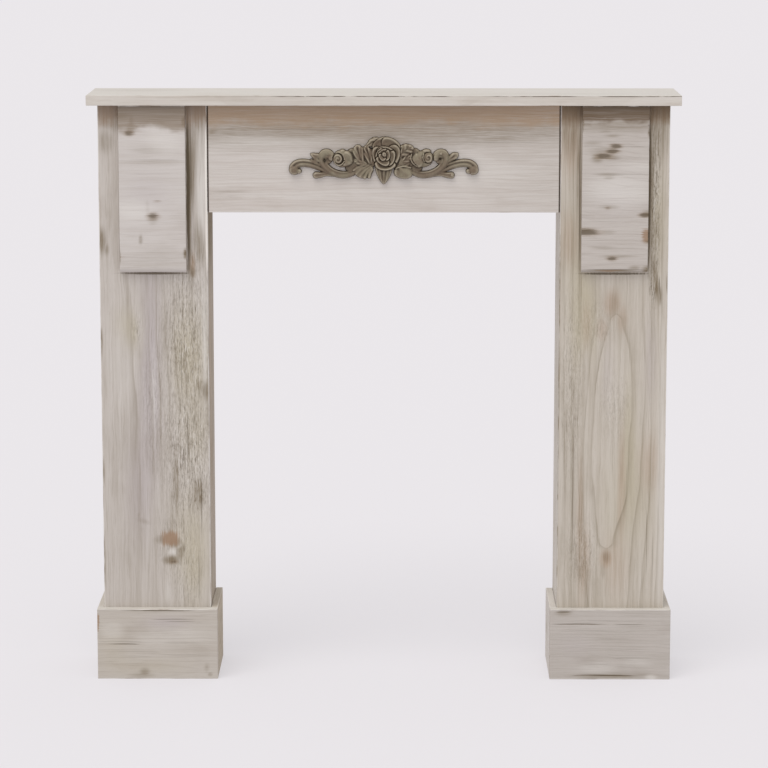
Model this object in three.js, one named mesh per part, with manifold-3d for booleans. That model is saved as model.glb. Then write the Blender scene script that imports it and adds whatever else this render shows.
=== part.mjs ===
// A fireplace mantelpiece: a free-standing timber surround for a hearth. Two open-backed box
// pilasters stand on skirted plinths and carry a plain mantel shelf. A frieze board closes the
// space between them under the shelf, a raised panel sits at the head of each pilaster, and a
// cast rose-and-scroll ornament is fixed to the middle of the frieze.
// Millimetres. X runs along the shelf, -Y is the front, +Y is the wall side, Z is up, and the
// floor is Z = 0.
import * as THREE from "three";
import { mergeVertices } from "three/addons/utils/BufferGeometryUtils.js";
import Module from "manifold-3d";

const wasm = await Module();
wasm.setup();

// ---- driving dimensions ----
const SHELF_LENGTH = 1000;
const SHELF_DEPTH = 158;
const SHELF_THICKNESS = 17;
const HEIGHT = 1010; // floor to the top of the shelf
const BACK = SHELF_DEPTH / 2; // the plane that stands against the wall
const FRONT = -SHELF_DEPTH / 2; // the front edge of the shelf
const GAP = 0.3; // between boards that touch
const ARRIS = 1.0; // rounding of the long edges of the boards

const BOARD = 12; // thickness of the pilaster and frieze boards
const PILASTER_OUTER = 482.5; // middle of the object to the outer face of a pilaster
const PILASTER_WIDTH = 184;
const PILASTER_SETBACK = 18; // shelf front to pilaster front

const PLINTH_HEIGHT = 124;
const PLINTH_FRONT_BOARD = 15;
const PLINTH_SIDE_BOARD = 11.5;

const CORBEL_WIDTH = 112.5;
const CORBEL_HEIGHT = 283;
const CORBEL_THICKNESS = 13;
const CORBEL_NOSE = 7; // rounding along the bottom front edge

const FRIEZE_HEIGHT = 182;
const FRIEZE_SETBACK = 1.0; // behind the pilaster fronts
const FRIEZE_END_GAP = 0.9; // open joint at each end

const ORNAMENT_CENTRE_Z = 911; // height of the middle of the rose
const ORNAMENT_RELIEF = 14;
const ROSE_MIDDLE = [2, 1.5]; // the rose sits a little off the ornament's middle line

// ---- places that follow from them ----
const SHELF_UNDER = HEIGHT - SHELF_THICKNESS;
const POST_HEIGHT = SHELF_UNDER - GAP;
const PILASTER_FRONT = FRONT + PILASTER_SETBACK;
const PILASTER_INNER = PILASTER_OUTER - PILASTER_WIDTH;
const PILASTER_MIDDLE = (PILASTER_OUTER + PILASTER_INNER) / 2;
const SIDE_DEPTH = BACK - (PILASTER_FRONT + BOARD + GAP);
const PLINTH_OUTER = PILASTER_OUTER + GAP + PLINTH_SIDE_BOARD;
const PLINTH_INNER = PILASTER_INNER - GAP - PLINTH_SIDE_BOARD;
const FRIEZE_FRONT = PILASTER_FRONT + FRIEZE_SETBACK;

// ---- materials ----
const wood = (color) =>
  new THREE.MeshStandardMaterial({ color, roughness: 0.85, metalness: 0 });
const shelfWood = wood(0xc9bfb6);
const friezeWood = wood(0xc2b7ae);
const pilasterWood = wood(0xb6aca3);
const panelWood = wood(0xc0b8b2);
const plinthWood = wood(0xb5ada4);
const castGrey = new THREE.MeshStandardMaterial({
  color: 0x75695a,
  roughness: 0.6,
  metalness: 0,
});

// ---- boards ----
// The section of a board: a rectangle with its four arrises rounded. `nose` rounds the corner at
// its low x and low y by more, for a board whose bottom front edge is rounded off.
function section(width, thickness, nose = ARRIS) {
  const x = width / 2;
  const y = thickness / 2;
  const s = new THREE.Shape();
  s.moveTo(-x + nose, -y);
  s.lineTo(x - ARRIS, -y);
  s.absarc(x - ARRIS, -y + ARRIS, ARRIS, -Math.PI / 2, 0, false);
  s.lineTo(x, y - ARRIS);
  s.absarc(x - ARRIS, y - ARRIS, ARRIS, 0, Math.PI / 2, false);
  s.lineTo(-x + ARRIS, y);
  s.absarc(-x + ARRIS, y - ARRIS, ARRIS, Math.PI / 2, Math.PI, false);
  s.lineTo(-x, -y + nose);
  s.absarc(-x + nose, -y + nose, nose, Math.PI, 1.5 * Math.PI, false);
  return s;
}

function drawn(shape, length, curveSegments = 3) {
  return new THREE.ExtrudeGeometry(shape, {
    depth: length,
    bevelEnabled: false,
    curveSegments,
  });
}

function piece(name, geometry, material, x = 0, y = 0, z = 0) {
  const mesh = new THREE.Mesh(geometry, material);
  mesh.name = name;
  mesh.position.set(x, y, z);
  return mesh;
}

// A board that stands on end: its section lies in X and Y, centred on x and y, from z up.
function upright(name, width, thickness, length, material, x, y, z) {
  const g = drawn(section(width, thickness), length);
  return piece(name, g, material, x, y, z);
}

// A board that lies along X: its section lies in Y and Z, centred on y and z, from x on.
const ALONG_X = new THREE.Matrix4().makeBasis(
  new THREE.Vector3(0, 1, 0),
  new THREE.Vector3(0, 0, 1),
  new THREE.Vector3(1, 0, 0),
);
function level(name, depth, height, length, material, x, y, z, nose) {
  const g = drawn(section(depth, height, nose), length, nose ? 8 : 3);
  g.applyMatrix4(ALONG_X);
  return piece(name, g, material, x, y, z);
}

// One leg: the pilaster's three boards, the plinth's three boards and the raised panel.
// `side` is -1 for the left leg, seen from the front, and 1 for the right.
function leg(prefix, side) {
  const g = new THREE.Group();
  g.name = prefix + "_leg";
  const sideY = (PILASTER_FRONT + BOARD + GAP + BACK) / 2;
  g.add(
    upright(
      prefix + "_pilaster_front",
      PILASTER_WIDTH,
      BOARD,
      POST_HEIGHT,
      pilasterWood,
      side * PILASTER_MIDDLE,
      PILASTER_FRONT + BOARD / 2,
      0,
    ),
    upright(
      prefix + "_pilaster_outer_side",
      BOARD,
      SIDE_DEPTH,
      POST_HEIGHT,
      pilasterWood,
      side * (PILASTER_OUTER - BOARD / 2),
      sideY,
      0,
    ),
    upright(
      prefix + "_pilaster_inner_side",
      BOARD,
      SIDE_DEPTH,
      POST_HEIGHT,
      pilasterWood,
      side * (PILASTER_INNER + BOARD / 2),
      sideY,
      0,
    ),
  );
  const plinthLow = Math.min(side * PLINTH_OUTER, side * PLINTH_INNER);
  const skirtDepth = BACK - PILASTER_FRONT;
  const skirtY = (BACK + PILASTER_FRONT) / 2;
  const skirtZ = PLINTH_HEIGHT / 2;
  g.add(
    level(
      prefix + "_plinth_front",
      PLINTH_FRONT_BOARD,
      PLINTH_HEIGHT,
      PLINTH_OUTER - PLINTH_INNER,
      plinthWood,
      plinthLow,
      PILASTER_FRONT - GAP - PLINTH_FRONT_BOARD / 2,
      skirtZ,
    ),
    upright(
      prefix + "_plinth_outer_side",
      PLINTH_SIDE_BOARD,
      skirtDepth,
      PLINTH_HEIGHT,
      plinthWood,
      side * (PLINTH_OUTER - PLINTH_SIDE_BOARD / 2),
      skirtY,
      0,
    ),
    upright(
      prefix + "_plinth_inner_side",
      PLINTH_SIDE_BOARD,
      skirtDepth,
      PLINTH_HEIGHT,
      plinthWood,
      side * (PLINTH_INNER + PLINTH_SIDE_BOARD / 2),
      skirtY,
      0,
    ),
    level(
      prefix + "_corbel_panel",
      CORBEL_THICKNESS,
      CORBEL_HEIGHT,
      CORBEL_WIDTH,
      panelWood,
      side * PILASTER_MIDDLE - CORBEL_WIDTH / 2,
      PILASTER_FRONT - GAP - CORBEL_THICKNESS / 2,
      POST_HEIGHT - CORBEL_HEIGHT / 2,
      CORBEL_NOSE,
    ),
  );
  return g;
}

// ---- the ornament ----
// It is drawn in its own frame: u to the right and w up from the middle of the rose, with the
// relief standing out of the plane towards the viewer. The right half is mirrored to the left.
function solid(geometry) {
  const bare = new THREE.BufferGeometry();
  const flat = geometry.index ? geometry.toNonIndexed() : geometry;
  bare.setAttribute("position", flat.getAttribute("position"));
  const merged = mergeVertices(bare, 1e-4);
  return new wasm.Manifold(
    new wasm.Mesh({
      numProp: 3,
      vertProperties: merged.attributes.position.array,
      triVerts: new Uint32Array(merged.index.array),
    }),
  );
}

// A raised shape of a given height, with its upper edge rounded over. Its back half goes below
// the plane, where it is cut off later.
function raised(shape, height, round, curveSegments = 6) {
  return solid(
    new THREE.ExtrudeGeometry(shape, {
      depth: height - round,
      bevelEnabled: true,
      bevelThickness: round,
      bevelSize: round * 0.8,
      bevelOffset: -round * 0.8,
      bevelSegments: 2,
      curveSegments,
      steps: 1,
    }),
  );
}

// A stem or scroll: a rounded bar bent along a centreline of [u, w, half width] points.
function stem(points, height, samples = 12, around = 10) {
  const line = new THREE.CatmullRomCurve3(
    points.map(([u, w, r]) => new THREE.Vector3(u, w, r)),
    false,
    "centripetal",
  );
  const g = new THREE.CylinderGeometry(1, 1, 1, around, samples);
  const at = g.getAttribute("position");
  for (let i = 0; i < at.count; i++) {
    const t = Math.min(1, Math.max(0, at.getY(i) + 0.5));
    const p = line.getPoint(t);
    const d = line.getTangent(t);
    const n = new THREE.Vector2(-d.y, d.x).normalize();
    const across = -at.getX(i) * p.z;
    at.setXYZ(i, p.x + n.x * across, p.y + n.y * across, at.getZ(i) * height);
  }
  return solid(g);
}

// A ball or boss: an ellipsoid whose middle lies `lift` above the plane.
function boss(u, w, ru, rw, height, lift = 0, turn = 0, segments = 14) {
  const g = new THREE.SphereGeometry(1, segments, Math.round(segments * 0.6));
  g.rotateX(Math.PI / 2);
  g.scale(ru, rw, height - lift);
  g.rotateZ(turn);
  g.translate(u, w, lift);
  return solid(g);
}

// A leaf: a pointed oval from its base to its tip, bulged to both sides, with a bent midrib.
function leaf(base, tip, width, height, round = 2.5, bend = 0) {
  const a = new THREE.Vector2(...base);
  const b = new THREE.Vector2(...tip);
  const along = b.clone().sub(a);
  const across = new THREE.Vector2(-along.y, along.x).normalize();
  const at = (t, s) =>
    a
      .clone()
      .addScaledVector(along, t)
      .addScaledVector(across, s + bend * Math.sin(Math.PI * t));
  const s = new THREE.Shape();
  s.moveTo(a.x, a.y);
  const p = [at(0.1, width * 0.62), at(0.62, width * 0.72)];
  const q = [at(0.62, -width * 0.72), at(0.1, -width * 0.62)];
  s.bezierCurveTo(p[0].x, p[0].y, p[1].x, p[1].y, b.x, b.y);
  s.bezierCurveTo(q[0].x, q[0].y, q[1].x, q[1].y, a.x, a.y);
  return raised(s, height, round, 7);
}

// A rounded petal: an ellipse turned about the middle of the flower.
function petal(angle, out, ru, rw, height) {
  const s = new THREE.Shape();
  s.absellipse(
    out * Math.cos(angle),
    out * Math.sin(angle),
    ru,
    rw,
    0,
    2 * Math.PI,
    false,
    angle,
  );
  return raised(s, height, 2.2, 7);
}

function ornament() {
  const half = [
    // the end scroll: a ball with an arm that runs back to the fork of the stems
    boss(149.5, -25, 10.8, 11, 9.5, 2),
    stem(
      [
        [150.5, -25, 9],
        [147, -18, 8],
        [137, -16.2, 6.6],
        [122, -17.2, 7],
        [108, -22, 7.2],
        [96, -30, 6],
        [84, -35, 4.5],
      ],
      8,
      14,
    ),
    // the thorn above the fork
    leaf([108, -14], [124, -0.5], 12, 7),
    // the volute: a stem that rises from the fork, curls over and ends in a small ball
    stem(
      [
        [46, -31, 3],
        [60, -35, 6],
        [76, -36.2, 6],
        [92, -32, 6.6],
        [102.5, -22, 6.4],
        [105.8, -10, 5.6],
        [103.5, 0.5, 4.8],
        [97, 4.2, 4.6],
        [90.5, 0.5, 4.4],
        [89, -6, 4.6],
      ],
      8.5,
      26,
    ),
    boss(89, -7, 6, 6, 10, 2),
    boss(97, -3.5, 11, 11, 5.5, 1),
    // the lobe below the fork
    boss(114.5, -36.5, 6.2, 6.2, 8, 1.5),
    stem(
      [
        [114, -36.4, 4.5],
        [102, -35, 4.5],
        [88, -36.5, 5],
      ],
      6.5,
      5,
    ),
    // the rosebud with its sepals
    boss(69, -7.5, 15.5, 15.8, 12, 1, 0, 16),
    boss(76, -4.5, 8.5, 9, 13, 3),
    leaf([46, -20], [66, 8], 17, 9.5),
    // the leaves between the bud and the rose
    boss(43, 3.5, 12, 11.5, 9.5, 1.5),
    leaf([20, -20], [47, 14], 24, 8.5),
    leaf([22, -6], [54, -14], 20, 8),
    leaf([16, -14], [42, -20], 20, 7),
    // the fan leaf below them
    boss(32, -31.5, 15.5, 12.5, 8.5, 1),
    leaf([22, -18], [50, -38], 16, 8),
    // half of the drooping leaf below the rose
    leaf([5, -22], [1, -52.5], 15, 7.5),
    leaf([9, -20], [11, -45], 13, 6.5),
  ];
  let all = half[0];
  for (const s of half.slice(1)) all = all.add(s);
  all = all.add(all.mirror([1, 0, 0]));
  // one leaf stands up behind the rose on the left side only
  all = all.add(leaf([-2, 21], [-31, 10.5], 12, 7, 2.5, -4));
  // the rose: two rings of petals that step up to a coiled heart
  const [roseU, roseW] = ROSE_MIDDLE;
  const rings = [
    [5, 13, 14, 14, 9.5, 0.3],
    [5, 7.5, 11, 10.5, 12, 0.9],
    [3, 3.5, 7, 6.5, ORNAMENT_RELIEF, 0.2],
  ];
  for (const [count, out, ru, rw, height, start] of rings)
    for (let i = 0; i < count; i++)
      all = all.add(
        petal(
          start + (i * 2 * Math.PI) / count,
          out,
          ru,
          rw,
          height - i * 0.12,
        ).translate([roseU, roseW, 0]),
      );
  // the flat back
  const room = new THREE.BoxGeometry(600, 300, 60);
  room.translate(0, 0, 30);
  all = all.intersect(solid(room));
  const mesh = all.getMesh();
  const g = new THREE.BufferGeometry();
  g.setAttribute(
    "position",
    new THREE.BufferAttribute(new Float32Array(mesh.vertProperties), 3),
  );
  g.setIndex(new THREE.BufferAttribute(new Uint32Array(mesh.triVerts), 1));
  const made = piece("frieze_ornament", g, castGrey);
  made.rotation.x = Math.PI / 2; // w becomes Z, and the relief faces -Y
  made.position.set(0, FRIEZE_FRONT - GAP, ORNAMENT_CENTRE_Z);
  return made;
}

// ---- the whole ----
const mantelpiece = new THREE.Group();
mantelpiece.name = "fireplace_mantelpiece";
const friezeLength = 2 * (PILASTER_INNER - FRIEZE_END_GAP);
mantelpiece.add(
  level(
    "mantel_shelf",
    SHELF_DEPTH,
    SHELF_THICKNESS,
    SHELF_LENGTH,
    shelfWood,
    -SHELF_LENGTH / 2,
    0,
    HEIGHT - SHELF_THICKNESS / 2,
  ),
  level(
    "frieze_board",
    BOARD,
    FRIEZE_HEIGHT,
    friezeLength,
    friezeWood,
    -friezeLength / 2,
    FRIEZE_FRONT + BOARD / 2,
    POST_HEIGHT - FRIEZE_HEIGHT / 2,
  ),
  leg("left", -1),
  leg("right", 1),
  ornament(),
);

export default mantelpiece;
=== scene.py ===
"""Looks of a whitewashed timber fireplace mantelpiece. Every board is remade as a worn board with
eased, chipped arrises, and the cast rose-and-scroll ornament is remade as a finely modelled
relief. Metres, in the CAD frame: X along the shelf, -Y the front, Z up."""

import math

import bpy
import numpy as np
from mathutils import Matrix, Vector


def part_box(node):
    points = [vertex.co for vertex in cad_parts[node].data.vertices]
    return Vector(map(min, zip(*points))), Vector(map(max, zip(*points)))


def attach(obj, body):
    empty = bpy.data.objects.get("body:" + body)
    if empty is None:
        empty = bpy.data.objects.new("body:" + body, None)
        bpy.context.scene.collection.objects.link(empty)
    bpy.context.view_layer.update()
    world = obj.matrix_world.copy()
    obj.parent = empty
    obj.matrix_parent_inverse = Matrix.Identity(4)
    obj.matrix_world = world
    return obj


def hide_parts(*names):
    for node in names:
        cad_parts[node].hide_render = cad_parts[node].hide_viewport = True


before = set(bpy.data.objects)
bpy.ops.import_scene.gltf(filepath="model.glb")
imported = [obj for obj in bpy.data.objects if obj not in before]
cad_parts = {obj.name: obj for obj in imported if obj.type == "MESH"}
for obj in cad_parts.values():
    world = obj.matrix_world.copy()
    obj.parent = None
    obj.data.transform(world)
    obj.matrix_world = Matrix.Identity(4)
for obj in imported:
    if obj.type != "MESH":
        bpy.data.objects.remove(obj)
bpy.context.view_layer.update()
MM = 0.001


# ---------------------------------------------------------------- camera
def make_camera():
    """Stands in front at standing height, a little right of the middle, looking slightly down."""
    cam = bpy.data.cameras.new("camera")
    obj = bpy.data.objects.new("camera", cam)
    bpy.context.scene.collection.objects.link(obj)
    cam.sensor_width = 36
    cam.lens = 18 / CAM_TAN
    cam.shift_y = CAM_SHIFT_Y
    cam.clip_end = 200
    pitch, yaw = math.radians(CAM_PITCH), math.radians(CAM_YAW)
    back = Vector(
        (math.sin(yaw) * math.cos(pitch), -math.cos(yaw) * math.cos(pitch), math.sin(pitch))
    )
    obj.location = (CAM_X, CAM_Y, CAM_Z)
    obj.rotation_mode = "QUATERNION"
    obj.rotation_quaternion = (-back).to_track_quat("-Z", "Y")
    bpy.context.scene.camera = obj


CAM_X, CAM_Y, CAM_Z = 0.0286, -5.079, 1.42
CAM_PITCH, CAM_YAW = 9.034, 0.321
CAM_TAN = 0.12865
CAM_SHIFT_Y = -0.08
make_camera()


# ---------------------------------------------------------------- node helpers
class Value:
    """A socket of a node tree that can be added, multiplied and so on."""

    def __init__(self, tree, socket):
        self.tree, self.socket = tree, socket

    def _op(self, name, other, swap=False):
        a, b = (other, self) if swap else (self, other)
        return self.tree.math(name, a, b)

    def __add__(self, o):
        return self._op("ADD", o)

    __radd__ = __add__

    def __sub__(self, o):
        return self._op("SUBTRACT", o)

    def __rsub__(self, o):
        return self._op("SUBTRACT", o, True)

    def __mul__(self, o):
        return self._op("MULTIPLY", o)

    __rmul__ = __mul__

    def __truediv__(self, o):
        return self._op("DIVIDE", o)

    def __rtruediv__(self, o):
        return self._op("DIVIDE", o, True)


class Tree:
    """Builds a material's nodes."""

    def __init__(self, name):
        self.material = bpy.data.materials.new(name)
        self.material.use_nodes = True
        self.nt = self.material.node_tree
        self.nt.nodes.clear()

    def node(self, kind, **settings):
        n = self.nt.nodes.new(kind)
        for k, v in settings.items():
            setattr(n, k, v)
        return n

    def put(self, socket, v):
        if isinstance(v, Value):
            self.nt.links.new(v.socket, socket)
        else:
            socket.default_value = v

    def math(self, op, a, b=None, c=None, clamp=False):
        n = self.node("ShaderNodeMath", operation=op, use_clamp=clamp)
        for i, v in enumerate((a, b, c)):
            if v is not None:
                self.put(n.inputs[i], v)
        return Value(self, n.outputs[0])

    def smooth(self, v, low, high, to_low=0.0, to_high=1.0):
        n = self.node("ShaderNodeMapRange", interpolation_type="SMOOTHSTEP", clamp=True)
        for i, x in enumerate((v, low, high, to_low, to_high)):
            self.put(n.inputs[i], x)
        return Value(self, n.outputs[0])

    def vec(self, x, y, z):
        n = self.node("ShaderNodeCombineXYZ")
        for i, v in enumerate((x, y, z)):
            self.put(n.inputs[i], v)
        return Value(self, n.outputs[0])

    def noise(self, vector, scale=1.0, detail=2.0, rough=0.5, distort=0.0):
        n = self.node("ShaderNodeTexNoise")
        self.put(n.inputs["Vector"], vector)
        n.inputs["Scale"].default_value = scale
        n.inputs["Detail"].default_value = detail
        n.inputs["Roughness"].default_value = rough
        n.inputs["Distortion"].default_value = distort
        return Value(self, n.outputs[0])

    def mix(self, factor, a, b, blend="MIX"):
        n = self.node("ShaderNodeMix", data_type="RGBA", blend_type=blend, clamp_factor=True)
        self.put(n.inputs[0], factor)
        self.put(n.inputs[6], a)
        self.put(n.inputs[7], b)
        return Value(self, n.outputs[2])

    def place(self):
        n = self.node("ShaderNodeTexCoord")
        s = self.node("ShaderNodeSeparateXYZ")
        self.nt.links.new(n.outputs["Object"], s.inputs[0])
        return [Value(self, o) for o in s.outputs]

    def attribute(self, name):
        n = self.node("ShaderNodeAttribute", attribute_name=name)
        return Value(self, n.outputs["Fac"])


def rgb(r, g, b):
    """A colour given as it looks on screen, 0 to 255."""
    return tuple((c / 255) ** 2.2 for c in (r, g, b)) + (1.0,)


# ---------------------------------------------------------------- wood
def smooth_noise(p, scale, seed):
    """Sum of a few seeded sine waves, about -1 to 1, at points p in mm."""
    rng = np.random.default_rng(seed)
    total = np.zeros(len(p))
    for k in range(5):
        d = rng.normal(size=3)
        d /= np.linalg.norm(d)
        f = 2 * np.pi / (scale * rng.uniform(0.5, 1.9))
        total += np.sin(p @ d * f + rng.uniform(0, 2 * np.pi))
    return total / 3.2


def wander(across, along, wide, long, seed):
    """Smooth noise, about -1 to 1, drawn out along the grain."""
    return smooth_noise(np.stack([across / wide, along / long, across * 0], 1) * 50.0, 50.0, seed)


def flat_sawn(heart, seed, spacing=6.0, drift=9.0):
    """Rings as distances from a bent axis under the face. heart is (across, along, depth, bow,
    taper) in mm."""
    h_across, h_along, h_depth, bow, taper = heart

    def rings(across, along, depth):
        run = along - h_along
        off = across - h_across + drift * wander(across, along, 60, 420, seed)
        off = off + 1.6 * wander(across, along, 22, 130, seed + 1)
        down = depth + h_depth + run * taper + run * run * bow
        return np.sqrt(off * off + down * down) / spacing

    return rings


def drawn_rings(lines, seed, shake=0.8):
    """Rings that follow drawn lines. Each is (number at the line, [(along, across), ...])."""

    def rings(across, along, depth):
        across = across + shake * wander(across, along, 14, 70, seed) + 0.12 * depth
        xs, ns = [], []
        for number, points in lines:
            a, c = np.array(sorted(points), float).T
            # a few points between the drawn ones, eased, so that the line has no corners
            fine = np.linspace(a[0], a[-1], 240)
            c = np.interp(fine, a, c)
            k = np.ones(9) / 9
            c = np.convolve(np.pad(c, 4, mode="edge"), k, "valid")
            xs.append(np.interp(along, fine, c))
            if callable(number):
                ns.append(number(along))
            else:
                ns.append(np.full(len(along), float(number)))
        xs, ns = np.array(xs), np.array(ns)
        out = ns[0] - (xs[0] - across) * 0.06
        for k in range(len(xs) - 1):
            s = (across - xs[k]) / np.maximum(xs[k + 1] - xs[k], 0.5)
            on = s > 0
            out = np.where(on, ns[k] + (ns[k + 1] - ns[k]) * np.clip(s, 0, 1), out)
        last = across > xs[-1]
        return np.where(last, ns[-1] + (across - xs[-1]) * 0.06, out)

    return rings


FIELDS = ("ring", "gain", "knot", "rust", "pale", "stain_and_shade", "grit", "hue", "warm")


def paint(mesh, lo, hi, grain, seed, rings, gain, marks, face_only=True):
    """Writes the board's slow patterns to its vertices: the rings, and the marks of the wood and
    wash, with some painted shade among them. marks are (kind, across, along, wide, long, strength, [lean])."""
    p = np.empty(len(mesh.vertices) * 3)
    mesh.vertices.foreach_get("co", p)
    p = p.reshape(-1, 3) * 1000.0
    g = "xyz".index(grain)
    size = [b - a for a, b in zip(lo, hi)]
    thin = min((i for i in range(3) if i != g), key=lambda i: size[i])
    wide = 3 - g - thin
    along, across, depth = p[:, g], p[:, wide], p[:, thin] - lo[thin]
    if thin == 2:
        depth = hi[2] - p[:, 2]
    on_face = np.clip(1.15 - depth / 6.0, 0, 1) if face_only else np.ones(len(p))
    out = {k: np.zeros(len(p)) for k in FIELDS}
    out["ring"] = rings(across, along, depth)
    out["gain"] = gain(across, along) if callable(gain) else np.full(len(p), float(gain))
    out["gain"] = out["gain"] * (0.7 + 0.3 * wander(across, along, 30, 160, seed + 5))
    for mark in marks:
        kind, ca, cl, wa, wl, strength = mark[:6]
        lean = mark[6] if len(mark) > 6 else 0.0
        da, dl = across - ca - lean * (along - cl), along - cl
        d2 = (da / wa) ** 2 + (dl / wl) ** 2
        if kind in ("knot", "rust"):
            d = np.sqrt(d2)
            if kind == "rust":  # squarer
                d = (np.abs(da / wa) ** 4 + np.abs(dl / wl) ** 4) ** 0.25
            v = np.clip(1 - 0.5 * d, 0, 1) * min(strength + 0.25, 1.0)
            if kind == "knot":  # the rings flow round a knot
                side = np.sign(across - ca + 0.01)
                out["ring"] = out["ring"] + side * 0.45 * np.exp(-((da / (2.2 * wa)) ** 2) - (dl / (1.8 * wl)) ** 2)
            out[kind] = np.maximum(out[kind], v * on_face)
        elif kind in ("olive", "lilac"):
            out["hue"] += (1 if kind == "olive" else -1) * strength * np.exp(-d2) * on_face
        elif kind == "line":  # clearer rings
            out["gain"] += strength * np.exp(-(d2**2))
        else:
            v = strength * np.exp(-(d2**1.5)) * on_face
            out[kind] = np.maximum(out[kind], v)
    for name in FIELDS:
        layer = mesh.attributes.new(name, "FLOAT", "POINT")
        layer.data.foreach_set("value", out[name].astype(np.float32))


def wood(
    name, lo, hi, grain, seed, light, mid, deep, lines=0.5, fibre=1.0, threads=(), wear=1.0,
    rim=0.5, top=None, end_shade=0.0, painted_top_light=0.0, painted_top_tone=(206, 201, 194), brow=0.0, highlight_and_wear_lines=(),
):
    """Whitewashed timber of one board. lo and hi are the board's corners in mm and grain is the
    axis that the fibres follow. light, mid and deep are the wash, the wood and its dark grain.
    threads are thin dark lines along the grain: (across, along, half wide, half long, strength);
    some of them are painted shadow beside and under the corbels. chalk are thin pale ones, given
    the same way, a painted highlight with some pale rubbed wash along an arris. top is (z where it
    ends, depth of its fade, strength, tone, and how much it deepens upwards) for the brown band
    under the shelf: partly a stain, partly the shelf's painted shadow, which deepens upwards."""
    t = Tree(name)
    xyz = [v * 1000.0 for v in t.place()]  # mm
    g = "xyz".index(grain)
    size = [b - a for a, b in zip(lo, hi)]
    thin = min((i for i in range(3) if i != g), key=lambda i: size[i])
    wide = 3 - g - thin
    along, across, deep_mm = xyz[g], xyz[wide], xyz[thin]
    field = {k: t.attribute(k) for k in FIELDS}
    sx, sz = seed * 17.3, seed * 5.1

    sway = t.noise(t.vec(along * 0.011 + sz, across * 0.03, sx), 1.0, 2.0, 0.55) - 0.5
    flow = across + sway * 9.0
    fib1 = t.noise(t.vec(along * 0.0040 + sx, flow * 0.15, deep_mm * 0.15 + sz), 1.0, 3.0, 0.6)
    fib2 = t.noise(t.vec(along * 0.011 + sz, flow * 0.55, deep_mm * 0.55), 1.0, 3.0, 0.65)
    fib3 = t.noise(t.vec(along * 0.055 + sx, flow * 2.2, deep_mm * 2.2), 1.0, 2.0, 0.6)
    cloud = t.noise(t.vec(along * 0.008 + sz, across * 0.020, deep_mm * 0.02 + sx), 1.0, 3.0, 0.55)
    dash = t.noise(t.vec(along * 0.045 + sz, flow * 0.60, deep_mm * 0.6 + sx), 1.0, 3.0, 0.65)
    speck = t.noise(t.vec(along * 0.13 + sx, flow * 0.75, deep_mm * 0.7 + sz), 1.0, 2.0, 0.6)

    # the wash over the wood, in bands along the grain
    colour = t.mix(t.smooth(fib1, 0.30, 0.70), light, mid)
    colour = t.mix(t.smooth(cloud, 0.35, 0.68) * 0.45, colour, light)
    colour = t.mix(t.smooth(cloud, 0.46, 0.26) * 0.22, colour, deep)
    colour = t.mix(t.smooth(field["hue"], 0.0, 1.0), colour, rgb(186, 177, 158), "MIX")
    colour = t.mix(t.smooth(field["hue"], 0.0, -1.0), colour, rgb(181, 172, 174), "MIX")
    warm = t.math("MULTIPLY", field["warm"], (fib2 - 0.5) * 1.6 + 1.0, clamp=True)
    colour = t.mix(warm, colour, rgb(172, 149, 129))
    # rings: a soft darkening and a thin line at the end of each
    phase = t.math("FRACT", field["ring"] + sway * 0.25)
    late = t.smooth(phase, 0.45, 0.95) * t.smooth(phase, 0.95, 1.0, 1.0, 0.0)
    core = t.smooth(phase, 0.78, 0.93) * t.smooth(phase, 0.93, 1.0, 1.0, 0.0)
    gain = field["gain"] * float(lines)
    broken = t.smooth(fib2, 0.30, 0.60, 0.45, 1.0)
    colour = t.mix(late * gain * 0.50, colour, deep)
    colour = t.mix(core * gain * broken * 0.68, colour, deep)
    # fibres
    colour = t.mix(t.smooth(fib2, 0.50, 0.72) * float(0.34 * fibre), colour, deep)
    colour = t.mix(t.smooth(fib2, 0.46, 0.28) * float(0.34 * fibre), colour, light)
    colour = t.mix(t.smooth(fib3, 0.54, 0.72) * float(0.26 * fibre), colour, deep)
    # open pores and flecks of wash where the surface is rough
    colour = t.mix(t.smooth(dash, 0.52, 0.66) * field["grit"] * 0.75, colour, DARK)
    colour = t.mix(t.smooth(dash, 0.44, 0.32) * field["grit"] * 0.60, colour, WHITE)
    colour = t.mix(t.smooth(speck, 0.54, 0.66) * field["grit"] * 0.60, colour, DARK)
    colour = t.mix(t.smooth(speck, 0.44, 0.33) * field["grit"] * 0.55, colour, WHITE)
    height = fib2 * 0.5 + fib3 * 0.35 + late * -0.3 - t.smooth(dash, 0.52, 0.66) * field["grit"] * 0.6

    ragged = (fib2 - 0.5) * 0.55 + (fib3 - 0.5) * 0.35 + (dash - 0.5) * 0.30
    # dark marks: stains, and in places painted shade and shadow
    stain_and_shade = t.math("MULTIPLY", field["stain_and_shade"], (fib2 - 0.5) * 1.8 + (dash - 0.5) * 1.2 + 1.0, clamp=True)
    colour = t.mix(stain_and_shade, colour, STAIN_AND_SHADE)
    pale = t.math("MULTIPLY", field["pale"], (fib2 - 0.5) * -1.6 + 1.0, clamp=True)
    colour = t.mix(pale, colour, WHITE)
    rust = t.smooth(field["rust"] + ragged, 0.36, 0.66)
    colour = t.mix(rust * 0.9, colour, RUST)
    halo = t.smooth(field["knot"] + ragged, 0.22, 0.60)
    knot = t.smooth(field["knot"] + ragged, 0.46, 0.72)
    colour = t.mix(halo * 0.45, colour, BROWN)
    colour = t.mix(knot * 0.72, colour, DARK)
    height = height - knot * 0.8 - rust * 0.4

    for m_across, m_along, m_wide, m_long, strength in threads:
        da = (across - float(m_across) + sway * 3.0) * (1.0 / m_wide)
        dl = (along - float(m_along)) * (1.0 / m_long)
        d = da * da + dl * dl + (dash - 0.5) * 1.5
        line = t.smooth(d, 0.25, 1.25, float(strength), 0.0)
        colour = t.mix(line, colour, DARK)
        height = height - line * 0.8

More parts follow.
